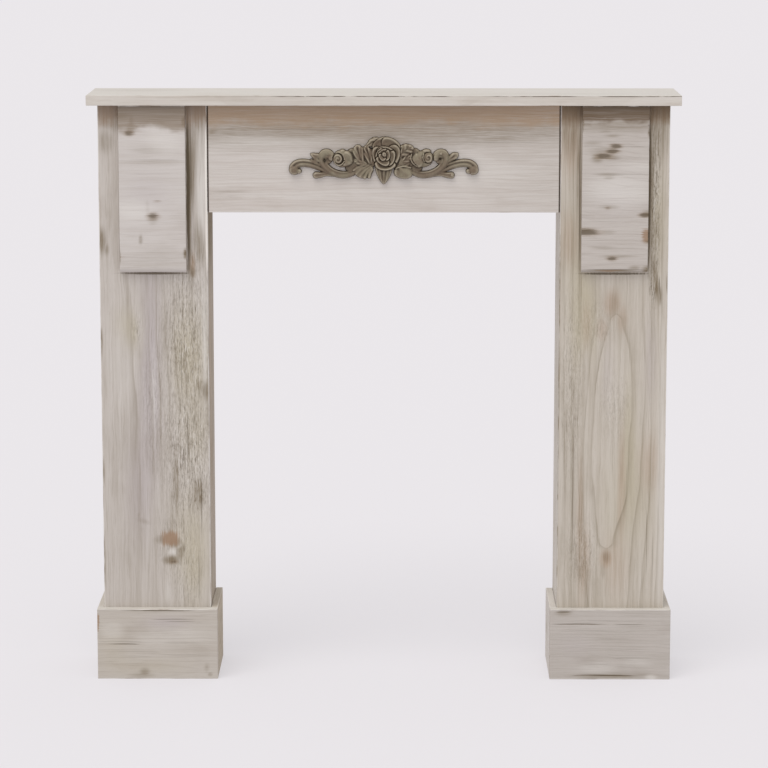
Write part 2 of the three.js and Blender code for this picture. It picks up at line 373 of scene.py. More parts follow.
    # thin pale lines along an arris: painted highlight with some pale rubbed wash
    for m_across, m_along, m_wide, m_long, strength in highlight_and_wear_lines:
        da = (across - float(m_across)) * (1.0 / m_wide)
        dl = (along - float(m_along)) * (1.0 / m_long)
        d = da * da + dl * dl + (dash - 0.5) * 0.8
        colour = t.mix(t.smooth(d, 0.35, 1.2, float(strength), 0.0), colour, rgb(232, 226, 219))

    if top is not None:
        # brown band close under the shelf, with an uneven lower edge: partly a stain, partly painted shadow of the
        # shelf
        z_end, fade, strength, tone, shadow_deepen = top
        lift = t.noise(t.vec(xyz[0] * 0.020 + sx, xyz[2] * 0.03, sz), 1.0, 3.0, 0.6) - 0.5
        under = t.smooth(xyz[2] + lift * 34.0 + (fib1 - 0.5) * 20.0, float(z_end), float(z_end + fade))
        under = under * t.smooth(fib2, 0.32, 0.60, 0.74, 1.0)
        colour = t.mix(under * float(strength), colour, tone)
        # painted shadow of the shelf: darker towards its underside
        painted_shelf_shadow = t.smooth(xyz[2], float(z_end + fade * 0.6), float(hi[2]))
        shelf_shadow_tone = tuple(c * 0.62 for c in tone[:3]) + (1.0,)
        colour = t.mix(painted_shelf_shadow * float(strength * shadow_deepen), colour, shelf_shadow_tone)

    # arrises: a pale line along them, painted highlight with some pale rubbed wash, and brown where they are knocked
    edges = []
    for i in range(3):
        if i == g:
            continue
        edges.append(t.math("MINIMUM", xyz[i] - float(lo[i]), float(hi[i]) - xyz[i]))
    near = t.math("MAXIMUM", edges[0], edges[1])
    end_near = t.math("MINIMUM", xyz[g] - float(lo[g]), float(hi[g]) - xyz[g])
    rub = t.noise(t.vec(xyz[0] * 0.022 + sx, xyz[1] * 0.022, xyz[2] * 0.022 + sz), 1.0, 3.0, 0.6)
    line = t.smooth(near, 0.7, 1.9, 1.0, 0.0)
    colour = t.mix(line * t.smooth(rub, 0.66, 0.40) * float(rim), colour, WHITE)
    reach = t.smooth(rub, 0.54, 0.78, 0.05, float(4.5 * wear + 0.1))
    worn = t.math("SUBTRACT", 1.0, near / reach, clamp=True)
    ending = t.math("SUBTRACT", 1.0, end_near / (reach * 0.8), clamp=True)
    # end grain, where the fibres are cut across, keeps its wash better than the arris round it
    n = t.node("ShaderNodeNewGeometry")
    s = t.node("ShaderNodeSeparateXYZ")
    t.nt.links.new(n.outputs["Normal"], s.inputs[0])
    cut = t.smooth(t.math("ABSOLUTE", Value(t, s.outputs[g])), 0.80, 0.97)
    worn = t.math("MAXIMUM", worn, ending * (1.0 - cut))
    colour = t.mix(t.smooth(worn, 0.1, 0.8) * 0.7, colour, BROWN)
    # painted shade at the board's ends, where the frieze meets the pilasters
    if end_shade:
        colour = t.mix(t.smooth(end_near, 1.0, 2.5, float(end_shade), 0.0), colour, rgb(60, 46, 33))
    if painted_top_light:  # painted light: upward faces mixed towards their own top tone, less over the dark fibres
        top_light_mask = t.smooth(Value(t, s.outputs[2]), 0.75, 0.97, 0.0, float(painted_top_light))
        top_light_mask = top_light_mask * t.smooth(fib2, 0.46, 0.66, 1.0, 0.52) * t.smooth(fib1, 0.48, 0.70, 1.0, 0.72)
        colour = t.mix(top_light_mask, colour, rgb(*painted_top_tone))
    if brow:  # a dark line under the top front arris
        drop = (xyz[2] - float(hi[2])) * -1.0 - 1.3 + sway * 1.2
        thin_line = t.smooth(t.math("ABSOLUTE", drop), 0.25, 0.95, 1.0, 0.0)
        thin_line = thin_line * t.smooth(xyz[0] + sway * 60.0, -345.0, -305.0)
        colour = t.mix(thin_line * t.smooth(dash + (fib1 - 0.5) * 0.9, 0.34, 0.50) * t.smooth(cloud, 0.42, 0.54, 0.15, float(brow)), colour, rgb(78, 66, 52))
    colour = t.mix(cut * t.smooth(dash, 0.40, 0.62, 0.05, 0.34), colour, BROWN)

    shade = t.node("ShaderNodeBsdfPrincipled")
    t.put(shade.inputs["Base Color"], colour)
    t.put(shade.inputs["Roughness"], t.smooth(cloud, 0.3, 0.7, 0.76, 0.62) + fib2 * 0.12)
    shade.inputs["Specular IOR Level"].default_value = 0.25
    bump = t.node("ShaderNodeBump")
    bump.inputs["Strength"].default_value = 0.5
    bump.inputs["Distance"].default_value = 0.0006
    t.put(bump.inputs["Height"], height)
    t.nt.links.new(bump.outputs[0], shade.inputs["Normal"])
    out = t.node("ShaderNodeOutputMaterial")
    t.nt.links.new(shade.outputs[0], out.inputs["Surface"])
    return t.material


# Colours as they look on screen in even light.
WHITE = rgb(222, 218, 213)
BROWN = rgb(140, 120, 99)
DARK = rgb(94, 83, 67)
STAIN_AND_SHADE = rgb(121, 107, 86)
RUST = rgb(154, 128, 106)
# light, mid and deep of each kind of board
PANEL = (rgb(205, 199, 195), rgb(198, 191, 186), rgb(166, 156, 146))
FRIEZE = (rgb(209, 203, 198), rgb(199, 191, 185), rgb(172, 161, 151))
POST = (rgb(199, 191, 181), rgb(184, 175, 163), rgb(140, 129, 111))
GREY_POST = (rgb(200, 193, 187), rgb(186, 178, 170), rgb(142, 131, 116))
# the left pilaster's inner side, in painted shade: it faces away from the key light
SHADED_SIDE = (rgb(178, 166, 153), rgb(163, 150, 135), rgb(128, 113, 94))
SIDE = (rgb(206, 200, 193), rgb(194, 186, 177), rgb(152, 140, 125))
PLINTH = (rgb(191, 184, 176), rgb(184, 176, 167), rgb(142, 130, 117))
# plinth inner sides: the left one in painted shade, the right one in painted light, as they face away from and towards
# the key light
PLINTH_SIDES_LIT_AND_SHADED = {
    ("left", 1): (rgb(182, 170, 153), rgb(168, 155, 138), rgb(132, 118, 98)),
    ("right", 1): (rgb(206, 200, 194), rgb(196, 189, 183), rgb(160, 150, 138)),
}
SHELF = (rgb(210, 204, 197), rgb(198, 190, 181), rgb(166, 155, 143))


# ---------------------------------------------------------------- boards
def lattice(a, b, step, edge):
    """Places of the grid lines along one side of a board: close together at both ends."""
    near = [e for e in edge if e < (b - a) / 2 - 0.4]
    inner_a, inner_b = a + near[-1], b - near[-1]
    count = max(1, int(round((inner_b - inner_a) / step)))
    middle = list(np.linspace(inner_a, inner_b, count + 1))[1:-1]
    return np.array([a + e for e in near] + middle + [b - e for e in near[::-1]])


EDGE = [0.0, 0.35, 0.8, 1.4, 2.2, 3.4, 5.2, 7.6]


def board(name, lo, hi, grain, seed, step=5.0, radius=0.8, rough=0.15, chips=(), nose=None, dents=6, knocks=(0.4, 1.1)):
    """A worn board: a box whose arrises are rounded by an amount that wanders, with chips given as
    (x, y, z, reach, depth) in mm. nose is (radius): the rounding of the lower front edge."""
    lo, hi = np.array(lo, float), np.array(hi, float)
    g = "xyz".index(grain)
    lines = []
    for i in range(3):
        span = hi[i] - lo[i]
        s = step if span > 60 else max(span / 3, 3.0)
        lines.append(lattice(lo[i], hi[i], s, EDGE))
    nx, ny, nz = (len(l) for l in lines)
    ids = -np.ones((nx, ny, nz), int)
    skin = np.zeros((nx, ny, nz), bool)
    skin[[0, -1], :, :] = skin[:, [0, -1], :] = skin[:, :, [0, -1]] = True
    ids[skin] = np.arange(skin.sum())
    idx = np.argwhere(skin)
    p = np.stack([lines[i][idx[:, i]] for i in range(3)], 1)

    r = radius + rough * smooth_noise(p, 60, seed) + rough * 0.7 * smooth_noise(p, 17, seed + 1)
    rng = np.random.default_rng(seed + 7)
    all_chips = list(chips)
    for _ in range(dents):  # small knocks at random places along the edges
        q = lo + (hi - lo) * rng.random(3)
        for i in rng.permutation([i for i in range(3) if i != g])[:2]:
            q[i] = (lo, hi)[rng.integers(2)][i]
        all_chips.append((*q, rng.uniform(2.5, 7), rng.uniform(*knocks)))
    for cx, cy, cz, reach, depth in all_chips:
        d = np.linalg.norm((p - (cx, cy, cz)), axis=1)
        r = r + depth * np.exp(-((d / reach) ** 2))
    half = (hi - lo).min() / 2
    r = np.clip(r, 0.25, half * 0.82)
    rr = np.repeat(r[:, None], 3, 1)
    inner = np.clip(p, lo + rr, hi - rr)
    if nose:
        # the lower front edge is rounded by more, in Y and Z only
        big = np.clip(nose + 0.5 * smooth_noise(p, 40, seed + 5), 2, half * 1.7)
        cy, cz = lo[1] + big, lo[2] + big
        at_nose = (p[:, 1] < cy) & (p[:, 2] < cz)
        inner[at_nose, 1], inner[at_nose, 2] = cy[at_nose], cz[at_nose]
        rr_nose = big
    d = p - inner
    length = np.linalg.norm(d, axis=1)
    length[length < 1e-9] = 1
    reach = rr[:, 0].copy()
    if nose:
        reach[at_nose] = rr_nose[at_nose]
    q = inner + d / length[:, None] * reach[:, None]
    q = np.clip(q, lo, hi)
    faces = []

    def side(grid, flip):
        a, b, c, e = grid[:-1, :-1], grid[1:, :-1], grid[1:, 1:], grid[:-1, 1:]
        quad = np.stack([a, b, c, e] if flip else [a, e, c, b], -1).reshape(-1, 4)
        faces.append(quad)

    side(ids[0, :, :], False)
    side(ids[-1, :, :], True)
    side(ids[:, 0, :], True)
    side(ids[:, -1, :], False)
    side(ids[:, :, 0], False)
    side(ids[:, :, -1], True)
    faces = np.concatenate(faces)
    mesh = bpy.data.meshes.new(name)
    mesh.from_pydata((q * MM).tolist(), [], faces.tolist())
    mesh.update()
    mesh.shade_smooth()
    obj = bpy.data.objects.new(name, mesh)
    bpy.context.scene.collection.objects.link(obj)
    return obj


def box_mm(node):
    lo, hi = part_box(node)
    return [v * 1000 for v in lo], [v * 1000 for v in hi]


def install(obj, node, material):
    obj.data.materials.append(material)
    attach(obj, "root")
    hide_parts(node)


def make_board(node, grain, seed, slot, tones, step=5.0, rings=None, gain=0.6, marks=(), face_only=True, mat=None, **shape):
    lo, hi = box_mm(node)
    obj = board(node + "_worn", lo, hi, grain, seed, step, **shape)
    paint(obj.data, lo, hi, grain, seed, rings, gain, marks, face_only)
    light, mid, deep = tones
    material = wood("wood_" + node, lo, hi, grain, seed, light, mid, deep, **(mat or {}))
    install(obj, node, material)
    return obj


make_board(
    "mantel_shelf", "x", 11, "shelf_wood", SHELF, 4.0,
    rings=flat_sawn((140, 300, 30, 0, 0.012), 11, 9.0), gain=0.35, face_only=False,
    marks=[("stain_and_shade", 30, -430, 30, 90, 0.25), ("stain_and_shade", -40, 300, 20, 160, 0.22)],
    mat=dict(lines=0.45, fibre=0.7, wear=0.35, rim=0.2, painted_top_light=0.8, painted_top_tone=(198, 194, 190), brow=1.0),
    radius=0.7, rough=0.12, dents=14,
)
make_board(
    "frieze_board", "x", 23, "frieze_wood", FRIEZE, 4.0,
    rings=flat_sawn((1040, -60, 24, 0, 0.016), 23, 5.2, 7.0), gain=0.6,
    marks=[
        ("knot", 946, -291, 3, 8, 0.35), ("stain_and_shade", 948, -288, 9, 14, 0.55),
        # the dark marks at 951 are partly stain, partly painted shadow of the shelf
        ("stain_and_shade", 951, 157, 5, 24, 0.55), ("stain_and_shade", 951, 0, 32, 520, 0.50), ("pale", 930, -190, 10, 120, 0.35),
        ("pale", 880, 160, 26, 90, 0.30), ("line", 935, -230, 26, 120, 0.35),
        ("stain_and_shade", 846, -262, 2, 30, 0.30), ("stain_and_shade", 836, -255, 2, 26, 0.35),
        ("stain_and_shade", 900, 260, 110, 120, 0.13), ("warm", 958, 0, 14, 300, 0.35), ("warm", 944, -60, 12, 150, 0.22),
    ],
    mat=dict(
        lines=0.6, fibre=0.8, wear=0.3, rim=0.25, end_shade=1.0,
        top=(950, 22, 0.80, rgb(168, 142, 116), 0.30),
        threads=[(952, -120, 0.8, 110, 0.35), (930, 190, 0.7, 80, 0.3)],
    ),
    radius=0.6, rough=0.1,
)

# Grain lines of the two pilasters' faces, as (ring, [(height, across), ...]).
LEFT_LINES = [
    (0.1, [(990, -478.0), (128, -478.0)]),
    (1, [(990, -429.7), (705, -429.4), (603, -426.8), (553, -424.4), (491, -420.8), (419, -418.2), (352, -415.8), (240, -415.4), (128, -418.0)]),
    (2, [(990, -402.5), (696, -399.8), (581, -397.4), (505, -393.8), (419, -393.8), (352, -391.4), (240, -389.6), (128, -390.5)]),
    (3, [(990, -387.9), (688, -386.4), (595, -385.2), (517, -381.4), (443, -379.7), (369, -378.4), (257, -377.6), (128, -376.7)]),
    (4, [(990, -373.3), (670, -371.6), (610, -369.8), (517, -365.4), (443, -363.0), (343, -360.4), (257, -356.1), (128, -355.2)]),
    (5, [(990, -356.1), (653, -355.6), (584, -353.3), (517, -350.9), (412, -345.7), (309, -344.0), (231, -340.6), (128, -343.2)]),
    (6, [(990, -340.6), (653, -338.9), (584, -338.2), (481, -333.7), (412, -332.8), (309, -330.3), (128, -328.5)]),
    (7, [(990, -326.8), (653, -325.1), (550, -321.7), (481, -320.8), (412, -317.7), (309, -314.8), (128, -315.6)]),
    (7.8, [(990, -300.0), (128, -300.0)]),
]


def oval(inside, outside):
    """A ring number that is high between the ends of the long oval in the grain."""

    def number(along):
        k = np.clip((643 - along) / 16.0, 0, 1) * np.clip((along - 222) / 16.0, 0, 1)
        return outside + (inside - outside) * k * k * (3 - 2 * k)

    return number


RIGHT_LINES = [
    (-1.0, [(990, 300.0), (128, 300.0)]),
    (0, [(990, 308.2), (653, 308.1), (481, 309.1), (343, 311.7), (128, 313.4)]),
    (1, [(990, 322.0), (653, 322.7), (481, 322.7), (412, 324.2), (128, 324.6)]),
    (2, [(990, 335.8), (653, 336.3), (550, 335.8), (481, 332.3), (395, 333.7), (343, 336.1), (274, 338.9), (128, 337.5)]),
    (3, [(990, 358.1), (672, 362.1), (610, 360.9), (584, 357.1), (529, 351.1), (481, 347.3), (447, 344.9), (395, 343.0), (309, 344.7), (206, 347.5), (128, 354.7)]),
    (oval(4.0, 3.55), [(990, 382.2), (670, 384.0), (632, 389.1), (612, 382.9), (591, 376.9), (569, 371.9), (541, 366.7), (517, 363.3), (493, 360.9), (467, 359.7), (412, 357.6), (361, 357.6), (330, 361.9), (287, 366.2), (252, 369.0), (231, 374.8), (206, 377.9), (128, 375.4)]),
    (oval(4.4, 3.7), [(990, 394.3), (670, 394.3), (626, 396.5), (584, 394.3), (481, 392.6), (361, 389.1), (274, 384.0), (231, 383.1), (206, 384.0), (128, 385.7)]),
    (oval(4.0, 3.55), [(990, 406.3), (670, 405.5), (632, 401.7), (615, 405.1), (598, 412.5), (574, 417.3), (541, 420.3), (512, 422.3), (491, 424.7), (467, 424.7), (443, 422.3), (421, 419.2), (392, 417.9), (343, 417.0), (309, 413.6), (278, 403.4), (252, 393.4), (231, 390.5), (206, 391.2), (128, 396.0)]),
    (3, [(990, 435.6), (679, 438.3), (615, 439.5), (577, 444.4), (529, 446.9), (467, 444.2), (438, 442.0), (400, 440.7), (335, 437.8), (287, 430.8), (252, 426.5), (185, 420.6), (128, 417.9)]),
    (2, [(990, 451.1), (651, 453.0), (579, 453.8), (529, 454.7), (447, 455.4), (343, 456.2), (252, 451.1), (185, 444.2), (128, 440.7)]),
    (1, [(990, 468.3), (601, 471.6), (395, 471.7), (252, 470.0), (128, 466.6)]),
    (0.2, [(990, 482.0), (128, 482.0)]),
]


def left_gain(across, along):
    """The lines are faint on the left third, and clearest about the middle of the height."""
    middle = np.exp(-(((along - 520) / 130.0) ** 2))
    right = 1 / (1 + np.exp(-(across + 440) / 6.0))
    return right * (0.32 + 0.55 * middle)


make_board(
    "left_pilaster_front", "z", 31, "pilaster_wood", GREY_POST, 2.6,
    rings=drawn_rings(LEFT_LINES, 31, 1.6), gain=left_gain,
    marks=[
        ("grit", -332, 590, 44, 150, 0.75), ("grit", -335, 400, 44, 130, 0.85),
        ("grit", -318, 320, 16, 34, 1.0), ("grit", -388, 470, 26, 120, 0.35),
        ("grit", -420, 610, 10, 26, 0.45), ("grit", -355, 240, 34, 60, 0.5),
        ("stain_and_shade", -318, 322, 12, 26, 0.55), ("stain_and_shade", -478, 762, 7, 22, 0.75), ("stain_and_shade", -471, 748, 5, 10, 0.5),
        ("stain_and_shade", -481.5, 590, 2.6, 24, 0.9), ("stain_and_shade", -481.5, 362, 2.4, 24, 0.9), ("stain_and_shade", -482, 200, 2, 60, 0.6),
        ("stain_and_shade", -303, 505, 7, 17, 0.95), ("stain_and_shade", -312, 514, 8, 10, 0.4),
        ("stain_and_shade", -323, 890, 6, 80, 0.62, 0.03), ("stain_and_shade", -312, 757, 9, 38, 0.62, -0.08), ("stain_and_shade", -310, 972, 14, 26, 0.45),
        # the dark strip at -329.5 is the left corbel's painted cast shadow on the pilaster
        ("stain_and_shade", -329.5, 850, 4.2, 150, 0.9), ("warm", -325, 722, 5, 20, 0.8), ("stain_and_shade", -331, 716, 5, 12, 0.6), ("stain_and_shade", -324, 708, 6, 9, 0.6),
        # the dark marks at 968 and 930 are partly stain, partly painted shadow of the shelf
        ("stain_and_shade", -452, 968, 26, 20, 0.4), ("stain_and_shade", -470, 930, 14, 20, 0.35),
        ("stain_and_shade", -440, 400, 46, 60, 0.13), ("stain_and_shade", -388, 400, 30, 50, 0.16),
        ("stain_and_shade", -414, 276, 10, 7, 0.30, -1.2), ("grit", -340, 190, 30, 70, 0.45), ("olive", -325, 190, 24, 80, 0.4), ("stain_and_shade", -421, 286, 3, 6, 0.3),
        ("rust", -367, 245, 15, 13, 0.70), ("stain_and_shade", -384, 243, 12, 8, 0.45), ("stain_and_shade", -358, 238, 9, 9, 0.6),
        ("pale", -364, 222, 7, 6, 0.65), ("stain_and_shade", -353, 222, 5, 9, 0.5), ("stain_and_shade", -366, 207, 15, 8, 0.8), ("stain_and_shade", -351, 217, 6, 16, 0.6, 0.3),
        ("knot", -362, 204, 8, 3.5, 0.5),
        ("stain_and_shade", -356, 350, 4.5, 60, 0.55), ("lilac", -395, 560, 26, 170, 0.85),
        ("lilac", -420, 330, 30, 120, 0.5), ("olive", -425, 600, 14, 40, 0.6), ("olive", -440, 620, 26, 40, 0.45),
        ("olive", -335, 560, 50, 110, 0.75), ("olive", -335, 250, 44, 110, 0.5), ("olive", -320, 420, 30, 60, 0.35),
        # the pale marks at -305 and, on the next line, -309 lie along the inner arris: painted highlight with some pale
        # rubbed wash
        ("pale", -393, 505, 3.5, 70, 0.3), ("pale", -374, 152, 3.5, 20, 0.25), ("pale", -305, 600, 4, 110, 0.5),
        ("pale", -309, 850, 8, 90, 0.6), ("pale", -450, 560, 26, 90, 0.14), ("stain_and_shade", -450, 240, 70, 150, 0.10), ("stain_and_shade", -400, 200, 40, 110, 0.08),
        ("line", -421, 520, 12, 90, 0.1), ("line", -382, 540, 10, 110, 0.2),
    ],
    mat=dict(
        lines=0.85, fibre=1.0, wear=0.35, rim=0.75,
        top=(950, 24, 0.75, rgb(150, 128, 108), 0.70),
        # pale lines at the inner arris: painted highlight with some pale rubbed wash
        highlight_and_wear_lines=[(-300.0, 880, 2.6, 80, 1.0), (-300.0, 780, 2.4, 80, 0.95)],
        # threads at -330.8 and at height 706.6 are painted shadow: right of the corbel and under its lower edge
        threads=[(-330.8, 850, 3.2, 150, 0.95), (-447.6, 850, 1.1, 150, 0.42), (-390, 706.6, 62, 2.4, 0.85), (-326, 900, 1.6, 80, 0.5), (-313, 300, 1.0, 60, 0.5), (-336, 420, 0.9, 45, 0.5), (-319, 180, 0.9, 50, 0.4), (-345, 545, 0.9, 60, 0.5)],
    ),
    dents=8,
)
make_board(
    "right_pilaster_front", "z", 37, "pilaster_wood", POST, 2.6,
    rings=drawn_rings(RIGHT_LINES, 37, 0.7), gain=0.85,
    marks=[
        ("grit", 322, 520, 20, 170, 0.45), ("grit", 395, 480, 26, 60, 0.35), ("grit", 360, 620, 30, 40, 0.35),
        ("grit", 459, 820, 9, 150, 1.0), ("grit", 458, 690, 8, 34, 0.9), ("grit", 340, 220, 28, 60, 0.5),
        # the dark strip at 452 is the right corbel's painted cast shadow on the pilaster
        ("stain_and_shade", 452, 850, 4, 150, 0.6), ("stain_and_shade", 461, 768, 9, 50, 0.24), ("stain_and_shade", 462, 692, 5, 40, 0.75, -0.12),
        ("stain_and_shade", 470, 668, 3, 16, 0.8), ("stain_and_shade", 481.5, 690, 2, 16, 0.9),
        ("stain_and_shade", 391, 652, 7, 24, 0.28), ("warm", 389, 655, 14, 24, 0.6), ("warm", 406, 628, 9, 24, 0.4), ("warm", 372, 610, 9, 20, 0.4),
        ("stain_and_shade", 383, 214, 6, 11, 0.5), ("warm", 384, 210, 11, 18, 0.8), ("stain_and_shade", 378, 190, 4, 16, 0.3),
        ("warm", 338, 260, 6, 120, 0.5), ("warm", 346, 205, 9, 60, 0.5), ("warm", 408, 330, 7, 110, 0.45), ("warm", 455, 380, 18, 50, 0.4),
        ("warm", 400, 200, 22, 60, 0.3), ("warm", 345, 620, 9, 40, 0.3),
        ("stain_and_shade", 325, 350, 3.5, 170, 0.28), ("stain_and_shade", 340, 300, 3.5, 110, 0.28), ("stain_and_shade", 351, 150, 4, 60, 0.42),
        ("stain_and_shade", 338, 205, 9, 34, 0.32), ("stain_and_shade", 311, 380, 3.5, 120, 0.25), ("stain_and_shade", 298.6, 500, 1.5, 330, 0.95),
        # the dark and warm marks at 950 and 930 are partly stain, partly painted shadow of the shelf
        ("stain_and_shade", 314, 950, 16, 44, 0.5), ("warm", 316, 930, 16, 60, 0.5), ("stain_and_shade", 467, 950, 15, 50, 0.5), ("stain_and_shade", 328, 900, 3, 90, 0.5), ("stain_and_shade", 333, 800, 2.5, 120, 0.65),
        ("olive", 345, 610, 22, 80, 0.8), ("olive", 420, 430, 12, 120, 0.6), ("olive", 330, 720, 30, 150, 0.6),
        ("olive", 440, 320, 30, 120, 0.5), ("olive", 395, 300, 30, 120, 0.45), ("olive", 465, 800, 18, 120, 0.6),
        ("lilac", 345, 560, 10, 50, 0.5), ("lilac", 455, 560, 14, 120, 0.4), ("lilac", 380, 540, 14, 90, 0.35),
        ("pale", 395, 520, 18, 70, 0.06), ("pale", 392, 340, 10, 80, 0.12), ("pale", 475, 400, 6, 260, 0.35), ("grit", 458, 850, 9, 130, 0.9), ("warm", 314, 765, 16, 46, 0.4),
        ("line", 409, 290, 16, 60, 0.4), ("line", 424, 430, 10, 90, 0.35), ("line", 365, 560, 10, 60, 0.3),
    ],
    mat=dict(
        lines=0.64, fibre=0.88, wear=0.35, rim=0.6,
        top=(950, 24, 0.9, rgb(130, 110, 89), 0.75),
        # threads at 449 and at height 706.6 are painted shadow: right of the corbel and under its lower edge
        threads=[(449.0, 850, 2.8, 150, 0.95), (390, 706.6, 62, 2.4, 0.85), (468, 686, 1.4, 16, 0.5), (331.5, 850, 1.2, 150, 0.6), (324.5, 330, 0.9, 140, 0.45), (452, 240, 0.9, 60, 0.35), (463, 200, 0.8, 70, 0.35)],
    ),
    dents=8,
)
for side, seed in (("left", 41), ("right", 53)):
    for k, part in enumerate(("outer_side", "inner_side")):
        make_board(
            f"{side}_pilaster_{part}", "z", seed + 3 * k, "pilaster_wood", SHADED_SIDE if side == "left" and k else SIDE, 7.0,
            rings=flat_sawn((-20, 500, 30, 0, 0.02), seed + 3 * k, 7.0), gain=0.5, face_only=False,
            marks=[
                # on the left inner side, painted shade darkening its upper part under the frieze
                ("stain_and_shade", -10, 790, 110, 90, 0.95 if side == "left" and k else 0.0),
                ("stain_and_shade", 20, 480, 8, 120, 0.3), ("stain_and_shade", -30, 700 - 200 * k, 6, 90, 0.3),
                ("warm", -20, 480, 30, 200, 0.4 if side == "left" and k else 0.1),
            ],
            mat=dict(lines=0.6, wear=0.3, rim=0.4 if side == "left" else 0.7, top=(950, 24, 0.6, rgb(150, 128, 108), 0.75) if k == 0 else None),
            radius=0.6, rough=0.1, dents=4,
        )
        make_board(
            f"{side}_plinth_{part}", "y", seed + 3 * k + 1, "plinth_wood", PLINTH_SIDES_LIT_AND_SHADED.get((side, k), PLINTH), 6.0,
            rings=flat_sawn((20, 0, 25, 0, 0.03), seed + 3 * k + 1, 6.0), gain=0.5, face_only=False,
            marks=[("stain_and_shade", 30 + seed % 7 * 9, -30 + 60 * k, 12, 26, 0.3)],
            mat=dict(lines=0.45, wear=0.4, rim=0.4, painted_top_light=0.45), radius=0.7, rough=0.12, dents=3,
        )
make_board(
    "left_plinth_front", "x", 61, "plinth_wood", PLINTH, 2.6,
    rings=flat_sawn((20, -400, 25, 0, 0.03), 61, 7.0, 6.0), gain=0.28,
    marks=[
        ("stain_and_shade", 12, -413, 7, 9, 0.6), ("stain_and_shade", 6, -418, 4, 22, 0.4), ("stain_and_shade", 20, -306, 7, 4, 0.3),
        ("stain_and_shade", 8, -300, 3, 4, 0.5), ("pale", 85, -470, 14, 22, 0.3), ("pale", 75, -370, 20, 60, 0.25),
        ("rust", 106, -494, 9, 3.5, 0.7), ("rust", 92, -494, 9, 2.6, 0.6), ("lilac", 100, -375, 16, 50, 0.5),
        ("line", 62, -450, 12, 70, 0.5), ("olive", 60, -470, 50, 34, 0.35), ("olive", 22, -400, 18, 70, 0.35),
    ],
    mat=dict(
        lines=0.38, fibre=0.75, wear=0.4, rim=0.7, painted_top_light=0.75,
        threads=[
            (121.5, -385, 1.0, 66, 0.9), (106, -362, 0.9, 36, 0.5), (102, -352, 0.8, 26, 0.4),
            (66, -452, 0.8, 44, 0.3), (62, -447, 1.1, 30, 0.6), (64, -350, 0.7, 40, 0.3), (43, -350, 0.7, 40, 0.25),
            (38, -440, 0.7, 44, 0.25), (48, -430, 0.7, 54, 0.22),
        ],
    ),
    chips=[(-494, -76, 110, 9, 1.6), (-494, -76, 94, 8, 1.2)],
)
make_board(
    "right_plinth_front", "x", 67, "plinth_wood", (rgb(187, 180, 174), rgb(179, 172, 165), rgb(142, 131, 120)), 2.6,
    rings=flat_sawn((0, 400, 25, 0, 0.03), 67, 7.2, 6.0), gain=0.30,
    marks=[
        ("stain_and_shade", 6, 383, 4, 56, 0.55), ("stain_and_shade", 8, 450, 3, 24, 0.3), ("pale", 30, 440, 10, 24, 0.2),
        ("pale", 20, 370, 10, 30, 0.25), ("stain_and_shade", 118, 310, 5, 14, 0.45), ("stain_and_shade", 70, 400, 16, 40, 0.08),
        ("line", 60, 410, 26, 50, 0.3), ("lilac", 60, 330, 30, 40, 0.3), ("pale", 4, 462, 5, 10, 0.5),
    ],
    mat=dict(
        lines=0.38, fibre=0.8, wear=0.4, rim=0.6, painted_top_light=0.75,
        threads=[
            (98, 335, 1.1, 50, 0.75), (97.5, 424, 0.9, 28, 0.5), (120, 310, 1.2, 14, 0.7), (7, 383, 1.3, 60, 0.8),
            (86, 350, 0.7, 50, 0.22), (72, 395, 0.7, 40, 0.22), (38, 430, 0.8, 40, 0.32), (54, 420, 0.7, 44, 0.22),
            (104, 372, 0.7, 50, 0.22), (26, 360, 0.7, 34, 0.22),
        ],
    ),
)
make_board(
    "left_corbel_panel", "x", 71, "panel_wood", PANEL, 2.6,
    rings=flat_sawn((640, -390, 30, 0, 0.04), 71, 9.5), gain=0.2,
    marks=[
        ("knot", 947, -429, 6, 9, 0.62), ("stain_and_shade", 955, -424, 10, 7, 0.5), ("stain_and_shade", 964, -424, 12, 4.0, 0.5, -0.6), ("stain_and_shade", 970, -372, 5, 30, 0.3), ("stain_and_shade", 975, -440, 6, 12, 0.4),
        ("knot", 957, -416, 3, 7, 0.4), ("stain_and_shade", 962, -378, 5, 9, 0.4),
        ("knot", 831, -382, 2, 8, 0.42), ("knot", 806, -390, 6.5, 12, 0.62), ("stain_and_shade", 800, -390, 8, 8, 0.35), ("stain_and_shade", 820, -399, 12, 3, 0.2, -0.4),
        ("stain_and_shade", 766, -411, 8, 3, 0.6), ("stain_and_shade", 772, -424, 2, 14, 0.10), ("stain_and_shade", 918, -392, 8, 30, 0.22),
        ("stain_and_shade", 745, -387, 3, 50, 0.10), ("stain_and_shade", 727, -390, 20, 70, 0.16), ("pale", 815, -420, 20, 40, 0.45), ("pale", 935, -370, 24, 30, 0.35),
        ("rust", 735, -443, 4, 16, 0.2), ("stain_and_shade", 898, -387, 4, 50, 0.25), ("lilac", 835, -400, 60, 50, 0.35),
        ("stain_and_shade", 742, -336, 9, 3, 0.9), ("stain_and_shade", 966, -337, 8, 3, 0.9), ("stain_and_shade", 735, -447, 12, 2.4, 0.6),
    ],
    mat=dict(
        lines=0.34, fibre=0.7, wear=0.6, rim=0.9, top=(944, 18, 0.84, rgb(138, 123, 107), 0.75),
        threads=[(902, -385, 0.8, 46, 0.15), (878, -392, 0.7, 40, 0.12), (744, -385, 0.9, 44, 0.09), (731, -392, 0.7, 40, 0.14)],
    ),
    chips=[
        (-336, -74, 970, 5, 2.6), (-336, -74, 958, 4, 1.6), (-336, -74, 742, 5, 2.6), (-336, -74, 736, 4, 2.0),
        (-336, -74, 870, 9, 1.0), (-448, -74, 905, 8, 0.8), (-448, -74, 738, 7, 1.4),
    ],
    nose=7.0, rough=0.22, dents=10,
)
